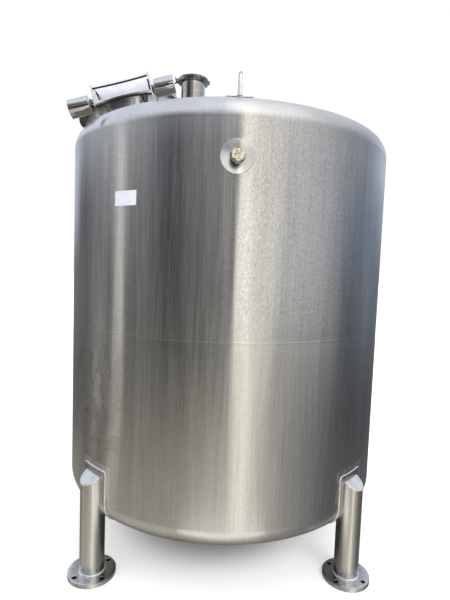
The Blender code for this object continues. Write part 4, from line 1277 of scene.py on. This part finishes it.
outer = dish(np.linspace(0, DISH_R, 34), DISH_R, top)
outer[-1] = (DISH_R + 0.003, top + 0.0002)
rim = rounded([(0.246, top), (FLANGE_R, top), (FLANGE_R, LID_W), (0.2365, LID_W)],
              [0, 0.0025, 0.0025, 0.001], closed=False)
inner = dish(np.linspace(0.2360, 0, 30), 0.2365, top - 0.004)
turned("lid_dish", np.concatenate([outer, rim, inner]), MANWAY, "mirror_steel", 192, cad=["lid"], **LID)
print("lid top at w =", round(top + RISE, 4))

# %% [markdown]
# The cover is one folded sheet. Its section is the same eight corners all along, and only the
# front's two heights change, so 41 sections side by side make the sheet.

# %% The folded cover
def cover_front(s):
    """Lower edge, upper edge and place along the hinge of the cover's front, for s from -1 to 1."""
    bow = 1 - s * s
    return -0.027 + 0.013 * bow, 0.075 - 0.007 * bow, COVER_U[0] + (s + 1) / 2 * (COVER_U[1] - COVER_U[0])


def cover_section(s):
    """The fold's outline in (v, w) from the hinge axis, and its place along the axis."""
    low, high, u = cover_front(s)
    corners = [(-0.050, low), (-0.027, high), (0.045, 0.068), (0.090, 0.068), (0.090, 0.064), (0.045, 0.064),
               (-0.0235, high - 0.004), (-0.0462, low)]
    soft = [0.0012, 0.006, 0.004, 0.001, 0.001, 0.004, 0.003, 0.0012]
    return lift(rounded(corners, soft, steps=5, keep_all=True), u)


def cover():
    """Sections from one end of the fold to the other."""
    rings = np.array([cover_section(s) for s in np.linspace(-1, 1, 41)])
    skin("cover", place(HINGE, rings), "mirror_steel", cad=["lid_cover"], sharp=50, **LID)


def on_cover(share, s):
    """A place on the cover's front face: share runs from its lower edge to its fold."""
    low, high, u = cover_front(s)
    return place(HINGE, np.stack([-0.050 + 0.023 * share, low + (high - low) * share, u], -1))


# %% [markdown]
# Thin dark lines on the cover are painted shade under the fold, under the rolled lower edge and in the slit
# at the right end, and a seam and an edge on the folded left end. Lines drawn into the colour would look
# flat, so each one is a slim bar pressed onto the face.

# %% Lines and folds on the cover
def cover_trim():
    """The painted shadow under the fold, the rolled lower edge, the painted shadow below it, the seam and
    edge of the folded left end, the painted shadow in the slit at the right end, and the folded left end
    itself."""
    s = np.linspace(-0.985, 0.985, 60)
    face = -0.09 * EY + 0.025 * NORMAL
    face = face / np.linalg.norm(face)
    seam, edge, right_end_shadow = np.linspace(0.12, 0.60, 20), np.linspace(0.09, 0.76, 20), np.linspace(0.06, 0.64, 20)
    # The dark rubber bars under the fold, under the hem and in the slit at the right end are painted shade.
    hem_shadow = on_cover(0 * s - 0.03, s) - face * 0.004 - NORMAL * 0.006
    for name, path, radius, finish, flat, sides in (
            ("fold_shadow", on_cover(0 * s + 0.83, s), 0.0056, "rubber_and_shade_lines", 0.14, 10),
            ("hem", on_cover(0 * s + 0.045, s), 0.0040, "hand_ground", 0.6, 12),
            ("hem_shadow", hem_shadow, 0.0062, "rubber_and_shade_lines", 0.45, 10),
            ("seam", on_cover(seam, -0.775 - 0.16 * seam) + face * 0.0008, 0.0036, "rubber_and_shade_lines", 0.2, 10),
            ("edge", on_cover(edge, -0.685 - 0.28 * edge) + face * 0.0009, 0.0017, "cast_steel", 0.4, 8),
            ("right_end_shadow", on_cover(right_end_shadow, 0 * right_end_shadow + 0.972) + face * 0.0008, 0.0040, "rubber_and_shade_lines", 0.2, 10)):
        swept("cover_" + name, path, face, radius, finish, flat=flat, around_it=sides, **LID)
    rows, cols = 14, 8
    share, across = np.meshgrid(np.linspace(0.075, 0.76, rows), np.linspace(0, 1, cols), indexing="ij")
    fold = on_cover(share, -0.985 + across * (0.295 - 0.265 * share)).reshape(-1, 3)
    quads, one = net(rows, cols, close_cols=False), rows * cols
    border = np.concatenate([np.arange(cols), np.arange(1, rows) * cols + cols - 1,
                             np.arange(one - 2, one - cols - 1, -1), np.arange(rows - 2, 0, -1) * cols])
    after = np.roll(border, -1)
    walls = np.stack([border + one, after + one, after, border], -1)
    to_blender("cover_fold", np.concatenate([fold + face * 0.0008, fold - face * 0.0004]),
               np.concatenate([quads, quads[:, ::-1] + one, walls]), "hand_ground", **LID)


# %% [markdown]
# The two cheeks carry the cover on the shaft, and a plain bar on the free side is the handle.

# %% Cheeks and handle
def cheek(tag, u0, u1):
    """A flat ear with a bore for the shaft; each side has 12 steps, so that the bore is round."""
    corners = vec(-0.0480, -0.028, 0.030, -0.026, 0.045, 0.032, 0.075, 0.0637, -0.0255, 0.0790).reshape(-1, 2)
    share = np.linspace(0, 1, 12)[:-1, None, None]
    sides = (corners + share * (np.roll(corners, -1, 0) - corners)).transpose(1, 0, 2).reshape(-1, 2)
    plate("cheek_" + tag, sides, u0, u1, HINGE, "hand_ground", hole=0.0105, cad=["lid_cheek_" + tag], **LID)


def handle():
    """A bar with two quarter bends on the lid's free side."""
    bend = np.linspace(0, np.pi / 2, 10)
    high, half = top + 0.045, 0.070
    x = np.concatenate([[half] * 5, half - 0.018 + 0.018 * np.cos(bend)])
    z = np.concatenate([np.linspace(top + 0.0003, high - 0.022, 5), high - 0.018 + 0.018 * np.sin(bend)])
    x = np.concatenate([x, np.linspace(0.04, -0.04, 5), -x[::-1]])
    z = np.concatenate([z, np.full(5, high), z[::-1]])
    path = place(MANWAY, np.stack([x, 0 * x + 0.262, z], -1))
    swept("lid_grip", path, EY, 0.007, "turned_steel", around_it=24, cad=["lid_handle"], **LID)


cover()
cover_trim()
cheek("left", -0.1220, -0.1170)
cheek("right", 0.1630, 0.1680)
handle()
print("lid:", sum(o.name.startswith(("lid", "cover", "cheek")) for o in MADE), "pieces")

# %% [markdown]
# ## Swing bolts
# Each bolt hangs from a lug on the neck's ring and ends in a black hand knob. The shank
# is cut with a thread: its radius goes up and down along its length. The knob is
# turned and then fluted: r (0.965 + 0.035 cos 6a), while its end stays round.

# %% Swing bolts
BOLT_CIRCLE, BOLT_W = 0.297, 0.096


def swing_bolt(tag, degrees):
    """The eye on the lug's pin, the threaded shank and the fluted knob."""
    a = deg(degrees)
    along = EX * math.sin(a) - EY * math.cos(a)
    pivot = place(MANWAY, (BOLT_CIRCLE * math.cos(a), BOLT_CIRCLE * math.sin(a), BOLT_W))
    up = EZ - along * along[2]
    up = up / np.linalg.norm(up)
    at = frame_at(pivot, along, np.cross(up, along), up)
    side = frame_at(pivot, at["y"], at["z"], at["x"])
    body = "bolt_" + tag
    plate("bolt_eye_" + tag, ring(0.0075, 0, 40)[:, :2], -0.0055, 0.0055, side, "turned_steel", hole=0.0042,
          body=body, cad=["swing_bolt_" + tag])
    h = np.linspace(-0.0065, -0.0216, 60)
    thread = np.column_stack([0.0040 - 0.0004 * (0.5 + 0.5 * np.sin(h * TAU / 0.0015)), h])
    thread = np.concatenate([[(0, h[0])], thread, [(0, h[-1])]])
    turned("bolt_shank_" + tag, thread, at, "turned_steel", 32, body=body)
    knob = rounded([(0, -0.062), (0.0100, -0.062), (0.0118, -0.059), (0.0170, -0.032), (0.0180, -0.025),
                    (0.0165, -0.0215), (0, -0.0215)], 0.0022, closed=False, steps=5)
    r, flutes = knob[:, 0:1], np.cos(6 * np.arange(96) * TAU / 96)
    rings = ring(knob[:, 0], knob[:, 1], 96)
    rings[..., :2] *= (1 + 0.035 * flutes * smooth_step(r, 0.006, 0.014) - 0.035)[..., None]
    skin("knob_" + tag, place(at, rings), "black_knob", body=body, cad=["bolt_knob_" + tag])


swing_bolt("front", -66)
swing_bolt("back", 114)
for tag in ("front", "back"):
    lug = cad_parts["bolt_lug_" + tag]
    lug.data.materials.clear()
    lug.data.materials.append(FINISH["turned_steel"])
print("bolt pivots on a circle of", BOLT_CIRCLE, "m round the manway's axis")

# %% [markdown]
# ## The bottom outlet
# A stub in the middle of the lower end, closed by a blank cap. It is turned, and it ends inside
# the sheet of the dished end.

# %% Outlet
dome = Z_LOW - (float(head_height(0.0)) - Z_TOP)
stub = [(0.0255, dome + 0.003), (0.0255, 0.0700), (0.032, 0.0690), (0.032, 0.066), (0.023, 0.066),
        (0.023, dome + 0.003)]
turned("outlet_neck", stub, GROUND, "turned_steel", soft=[0, 0.002, 0.0006, 0.0006, 0, 0],
       cad=["outlet_stub"])
turned("outlet_blank", [(0, 0.050), (0.032, 0.050), (0.032, 0.0657), (0, 0.0657)], GROUND, "turned_steel",
       soft=0.002, cad=["outlet_cap"])
weld("outlet", ring(0.0268, dome, 72), -EZ, 0.0035)
print("outlet under z =", round(dome, 4))

# %% [markdown]
# ## Camera
# The camera stands where the photographer stood, a little above the middle of the tank and
# close to it, with a wide lens. That is why the legs spread and the top looks narrow.

# %% Camera
cam_data = bpy.data.cameras.new("camera")
cam_data.sensor_width, cam_data.lens = 36.0, 26.247
cam_data.clip_end = 500
camera = bpy.data.objects.new("camera", cam_data)
bpy.context.scene.collection.objects.link(camera)
RIGHT, UP = vec(0.99897177, -0.02779827, 0.03581419), vec(-0.03363962, 0.07510169, 0.9966083)
AHEAD = vec(0.03039369, 0.99678834, -0.07408934)
EYE = vec(-0.0814852, -2.5835653, 1.45775)
rotation = np.eye(4)
rotation[:3] = np.column_stack([RIGHT, UP, -AHEAD, EYE])
camera.matrix_world = Matrix(rotation.tolist())
bpy.context.scene.camera = camera
print("camera at", np.round(EYE, 3).tolist())

# %% [markdown]
# ## The studio
# Polished metal is lit by what it reflects, so the tank stands in a large round tent. The
# tent is dark to the left of the camera and at the horizon, it has a tall soft box just to the
# right of the camera and a narrow strip far left, and it opens to a pale sky above and to
# warm ground below. Only reflections see it. Each row of the table is one elevation, and
# its stops are (azimuth in degrees, strength, tint), where tint runs from -1, warm, to 1, cool.

# %% The reflection tent
TENT = {
    -80: [(-180, 0.45, -1), (180, 0.3, -1)],
    -45: [(-180, 0.4, -1), (-60, 0.6, -1), (2, 0.85, -1), (14, 1, -1), (27, 1, -1), (35, 0.76, -0.9),
         (43, 0.56, -0.8), (60, 0.32, -0.5), (90, 0.16, 0), (180, 0.2, 0)],
    -28: [(-180, 0.4, -1), (-127, 0.34, -1), (-118, 0.14, -0.8), (-112, 0.17, -0.8), (-106, 0.17, -0.8),
         (-100, 0.12, -0.8), (-96, 0.2, -0.8), (-90, 0.64, -1), (-80, 0.42, -1), (-69, 0.42, -1),
         (-49, 0.44, -1), (-31, 0.5, -1), (-14, 0.64, -1), (3, 0.78, -1), (6, 0.84, -1), (9, 1.05, -1),
         (12, 1.35, -1), (15, 1.32, -1), (20, 0.88, -0.8), (27, 0.58, -0.7), (36, 0.45, -0.6),
         (55, 0.27, -0.5), (76, 0.13, 0), (180, 0.15, 0.5)],
    -17: [(-180, 0.14, -0.4), (-129, 0.14, -0.4), (-117, 0.13, -0.5), (-109, 0.16, -0.6),
         (-106, 0.34, -0.6), (-101, 0.46, -0.6), (-97, 0.38, -0.6), (-94, 0.18, -0.6), (-88, 0.18, -0.6),
         (-86, 0.34, -0.6), (-81, 0.44, -0.6), (-79, 0.6, -0.6), (-76, 0.5, -0.6), (-74, 0.14, -0.6),
         (-72, 0.11, -0.6), (-70, 0.2, -0.6), (-68.5, 0.2, -0.6), (-67, 0.11, -0.6), (-64, 0.11, -0.6),
         (-61.5, 0.2, -0.6), (-55, 0.17, -0.6), (-42, 0.095, -0.6), (-25, 0.08, -0.6), (-14, 0.12, -0.6),
         (0, 0.2, -0.6), (3, 0.22, -0.6), (5, 0.42, -0.8), (7, 0.62, -0.9), (9.5, 0.85, -0.9),
         (13, 1.3, -0.9), (15, 1.25, -0.8), (17.5, 1, -0.7), (22, 0.78, -0.6), (27, 0.64, -0.5),
         (31, 0.5, -0.5), (45, 0.31, -0.4), (68, 0.18, 0), (85, 0.1, 0.3), (110, 0.07, 0.3),
         (180, 0.12, 0.3)],
    0: [(-180, 0.18, 0.3), (-117, 0.18, 0.3), (-108, 0.26, 0), (-98, 0.18, 0), (-85, 0.22, 0),
         (-84, 0.78, -0.3), (-77, 0.78, -0.3), (-75, 0.18, -0.3), (-66, 0.17, -0.2), (-48, 0.11, 0.2),
         (-40, 0.06, 0.5), (-35, 0.05, 0.3), (-30, 0.08, -0.1), (-14, 0.18, -0.1), (-4, 0.27, -0.1),
         (3.5, 0.27, 0), (5, 1.6, -0.6), (12, 1.5, -0.6), (16, 1.12, -0.5), (29, 1.06, -0.4),
         (35, 0.7, -0.2), (60, 0.7, 0), (66, 0.62, 0), (72, 0.48, 0.2), (80, 0.33, 0.5), (87, 0.2, 1),
         (105, 0.22, 1.4), (118, 0.28, 1.4), (136, 0.2, 1.4), (180, 0.2, 1)],
    8: [(-180, 0.6, 0.8), (-141, 0.6, 0.8), (-133, 0.16, 0.7), (-122, 0.1, 0.5), (-106, 0.16, 0.1),
         (-98, 0.22, 0), (-85, 0.24, 0), (-84, 0.76, -0.2), (-77, 0.76, -0.2), (-75, 0.22, -0.2),
         (-64, 0.18, 0), (-46, 0.09, 0.5), (-40, 0.06, 0.6), (-35, 0.07, 0.5), (-30, 0.17, 0),
         (-14, 0.21, 0), (-3, 0.28, 0), (0, 0.27, 0), (1, 0.05, 0), (3, 0.05, 0), (4.6, 1.6, -0.6),
         (12, 1.35, -0.6), (18, 1.05, -0.5), (31, 0.92, -0.3), (40, 0.68, -0.1), (60, 0.68, 0.1),
         (72, 0.5, 0.4), (82, 0.34, 0.7), (104, 0.24, 1.6), (122, 0.3, 1.6), (138, 0.45, 1.2),
         (180, 0.5, 1)],
    15: [(-180, 0.75, 0.8), (-137, 0.75, 0.8), (-125, 0.42, 0.6), (-100, 0.48, 0.5), (-84, 0.46, 0.3),
         (-83, 0.78, 0), (-77, 0.78, 0), (-74, 0.42, 0), (-60, 0.24, 0.2), (-44, 0.07, 0.8),
         (-35, 0.08, 0.7), (-30, 0.17, 0), (-14, 0.22, 0), (-2, 0.29, 0), (1, 0.29, 0), (2, 0.05, 0),
         (4.4, 0.05, 0), (6, 1.5, -0.6), (9.5, 1.15, -0.6), (14, 0.76, -0.8), (20, 0.64, -0.8),
         (27, 0.74, -0.4), (42, 0.7, -0.1), (62, 0.64, 0.2), (80, 0.5, 0.7), (106, 0.42, 1.2),
         (130, 0.8, 1), (180, 0.9, 0.8)],
    25: [(-180, 0.95, 0.8), (-110, 1.15, 0.7), (-90, 1, 0.6), (-78, 0.8, 0.5), (-62, 0.5, 0.5),
         (-45, 0.12, 0.6), (-30, 0.15, 0.2), (-5, 0.33, 0), (3.5, 0.32, 0), (6, 0.28, 0), (8, 1.4, -0.5),
         (13, 0.86, -0.8), (18, 0.66, -1), (24, 0.72, -0.8), (30, 0.9, -0.3), (60, 0.55, 0.1),
         (90, 0.42, 0.5), (180, 1, 0.8)],
    38: [(-180, 1.05, 0.8), (-110, 1.1, 0.8), (-60, 0.95, 0.6), (-40, 0.66, 0.6), (-18, 0.9, 0.6),
         (-11.5, 0.78, 1), (-6, 0.98, 0.5), (3, 1.15, 0), (6, 1.6, -0.3), (30, 1.35, -0.2),
         (60, 1.05, 0.2), (90, 0.78, 0.4), (130, 0.9, 0.7), (180, 1.05, 0.8)],
    50: [(-180, 1.05, 0.8), (-120, 1.05, 0.8), (-80, 1.25, 0.7), (-60, 1.3, 0.6), (-40, 1.32, 0.6),
         (-18, 1.32, 0.6), (-11.5, 1, 1), (-5, 1.38, 0.4), (3, 1.75, 0), (15, 1.95, -0.2), (30, 1.6, 0),
         (60, 1.3, 0.1), (90, 0.85, 0.3), (180, 1.05, 0.6)],
    75: [(-180, 1, 0.5), (-30, 1.15, 0.4), (10, 1.85, 0), (40, 1.45, 0.2), (180, 1, 0.5)],
}
print("the tent has", len(TENT), "rows and", sum(map(len, TENT.values())), "stops")

# %% [markdown]
# Between two stops the strength and the tint change evenly, and between two rows they blend
# softly. The colours sit on the points of a sphere, so no picture is needed.

# %% The tent's colours and its sphere
COOL, WARM = vec(0.86, 0.95, 1.12), vec(1.07, 1.00, 0.85)


def tent_colours(azimuth, elevation):
    """Read strength and tint along each row, then blend the two rows with 3t^2 - 2t^3."""
    levels = sorted(TENT)
    rows = []
    for level in levels:
        stops = np.array(TENT[level], float).T
        rows.append([np.interp(azimuth, stops[0], stops[1]), np.interp(azimuth, stops[0], stops[2])])
    rows = np.array(rows)
    k = np.clip(np.searchsorted(levels, elevation, side="right") - 1, 0, len(levels) - 2)
    low, high = np.array(levels, float)[k], np.array(levels, float)[k + 1]
    t = np.clip((elevation - low) / (high - low), 0, 1)
    t = (t * t * (3 - 2 * t))[:, None, None]
    value = rows[k].transpose(0, 2, 1) * (1 - t) + rows[k + 1].transpose(0, 2, 1) * t
    strength, tint = value[..., :1], value[..., 1:]
    shade = np.where(tint > 0, 1 + (COOL - 1) * tint, 1 + (WARM - 1) * -tint)
    return np.concatenate([strength * shade, np.ones_like(strength)], -1)


def on_stage(name, points, faces, material, reflected_only=True):
    """A mesh of the studio with a material of its own; returns the mesh and its node tree."""
    mesh = bpy.data.meshes.new(name)
    mesh.from_pydata(np.reshape(points, (-1, 3)).tolist(), [], faces)
    coat = bpy.data.materials.new(material)
    coat.use_nodes = True
    mesh.materials.append(coat)
    obj = bpy.data.objects.new(name, mesh)
    bpy.context.scene.collection.objects.link(obj)
    if reflected_only:
        for kind in ("camera", "diffuse", "shadow", "transmission", "volume_scatter"):
            setattr(obj, "visible_" + kind, False)
    else:
        obj.visible_glossy = False
    return mesh, Tree(coat.node_tree)


def glowing(t, colour, strength):
    """Make a cleared material a light of this colour and strength."""
    t.add("ShaderNodeOutputMaterial", Surface=t.add("ShaderNodeEmission", Color=colour, Strength=strength))


def tent(radius=60.0):
    """A sphere of directions, with a column at every stop so that the soft box keeps sharp sides."""
    stops = np.unique(np.concatenate([[s[0] for s in row] for row in TENT.values()]
                                     + [np.arange(-180, 181, 4.0)]))
    level = np.append(np.arange(-89, 80, 2.5), 89.0)
    e, a = np.meshgrid(np.radians(level), np.radians(stops), indexing="ij")
    p = np.stack([np.cos(e) * np.sin(a), -np.cos(e) * np.cos(a), np.sin(e)], -1) * radius + EZ * 1.2
    mesh, t = on_stage("tent", p, net(*e.shape, close_cols=False).tolist(), "tent_light")
    glow = mesh.color_attributes.new("glow", "FLOAT_COLOR", "POINT")
    glow.data.foreach_set("color", tent_colours(stops, level).astype(np.float32).ravel())
    t.tree.nodes.clear()
    glowing(t, t.add("ShaderNodeAttribute", props={"attribute_name": "glow"}), 1.0)
    return mesh


print("tent:", len(tent().polygons), "faces")

# %% [markdown]
# ## Floor and cards
# The floor is white and glows a little beyond the tank's shadow, as a lit backdrop does. Cards
# that only reflections see stand for the dark and bright things near the tank.

# %% Floor and cards
size = 60.0
corners = [(-size, -size, 0), (size, -size, 0), (size, size, 0), (-size, size, 0)]
t = on_stage("floor", corners, [(0, 1, 2, 3)], "pale_floor", reflected_only=False)[1]
pale = t.tree.nodes["Principled BSDF"].inputs
left_of = t.vector("ADD", t.add("ShaderNodeTexCoord", 3), (0.06, 0, 0))
for socket, value in (("Base Color", 0.93), ("Roughness", 0.9), ("Emission Color", 1.0),
                      ("Emission Strength", t.vector("LENGTH", left_of).ramp(0.35, 0.63, 0.0, 0.36))):
    t.put(pale[socket], value)


def card(name, points, colour, strength, rim=None):
    """A flat card of light. With a rim, (from, to, strength), it changes from the middle outwards."""
    t = on_stage(name, points, [list(range(len(points)))], name + "_light")[1]
    t.tree.nodes.clear()
    if rim:
        away = t.vector("LENGTH", t.add("ShaderNodeTexCoord", 3))
        strength = away.ramp(rim[0], rim[1], strength, rim[2])
    glowing(t, colour, strength)


WARM_GREY, WARM_WHITE = (1.0, 0.95, 0.88), (1.0, 0.97, 0.92)
card("dark_card", ring(0.86, 0.002, 48), WARM_GREY, 0.040, rim=(0.60, 0.86, 0.26))
card("bright_card", ring(1, 0.003, 48) * vec(0.42, 0.26, 1) + vec(0, -1.22, 0), WARM_WHITE, 1.25)
for name, u0, u1, low, high, colour, strength in (
        ("flag_left", -0.275, -0.140, (-0.545, -0.008), (-0.545, 0.054), WARM_WHITE, 0.035),
        ("flag_right", 0.165, 0.310, (-0.545, -0.008), (-0.545, 0.054), WARM_WHITE, 0.035),
        ("shade_left", -0.238, -0.125, (-0.390, -0.010), (-0.300, -0.004), WARM_GREY, 0.22),
        ("shade_right", 0.172, 0.300, (-0.390, -0.010), (-0.300, -0.004), WARM_GREY, 0.22),
        ("gap_light", 0.090, 0.162, (-0.290, 0.0), (-0.290, 0.09), 1.0, 2.0)):
    card(name, place(MANWAY, [(u0, *low), (u1, *low), (u1, *high), (u0, *high)]), colour, strength)
print("seen in reflections only:", [m.name for m in bpy.data.materials if m.name.endswith("_light")])

# %% [markdown]
# ## Surround and lamp
# The world is white. What reflections see of it is a touch cooler and darker than the backdrop,
# and one soft lamp from the upper right gives the shadow on the floor its direction.

# %% Surround and lamp
world = bpy.data.worlds.new("surround")
world.use_nodes = True
t = Tree(world.node_tree)
background = world.node_tree.nodes["Background"].inputs
glossy, seen = t.add("ShaderNodeLightPath", 3), t.add("ShaderNodeLightPath", 0)
t.put(background[0], t.mix(glossy, 1.0, (0.93, 0.97, 1.0)))
t.put(background[1], 1.12 - (seen + glossy) * 0.10)
bpy.context.scene.world = world
bpy.context.scene.view_settings.view_transform = "Standard"


def lamp(name, spot, aim, size, watts, colour):
    """A round soft lamp at a spot, turned to its aim."""
    data = bpy.data.lights.new(name, "AREA")
    data.shape, data.size, data.energy, data.color = "DISK", size, watts, colour
    obj = bpy.data.objects.new(name, data)
    ahead = vec(*aim) - vec(*spot)
    ahead = ahead / np.linalg.norm(ahead)
    side = np.cross(ahead, EZ)
    side = side / np.linalg.norm(side)
    m = np.eye(4)
    m[:3] = np.column_stack([side, np.cross(side, ahead), -ahead, spot])
    obj.matrix_world = Matrix(m.tolist())
    obj.visible_glossy = obj.visible_camera = False
    bpy.context.scene.collection.objects.link(obj)


lamp("key", (2.6, -4.2, 4.6), (0, 0, 1.2), 2.4, 90, (1.0, 0.98, 0.95))
print("lamps:", [light.name for light in bpy.data.lights])

# %% Sizes and finish
print("pieces:", len(MADE), "- faces:", sum(len(o.data.polygons) for o in MADE))
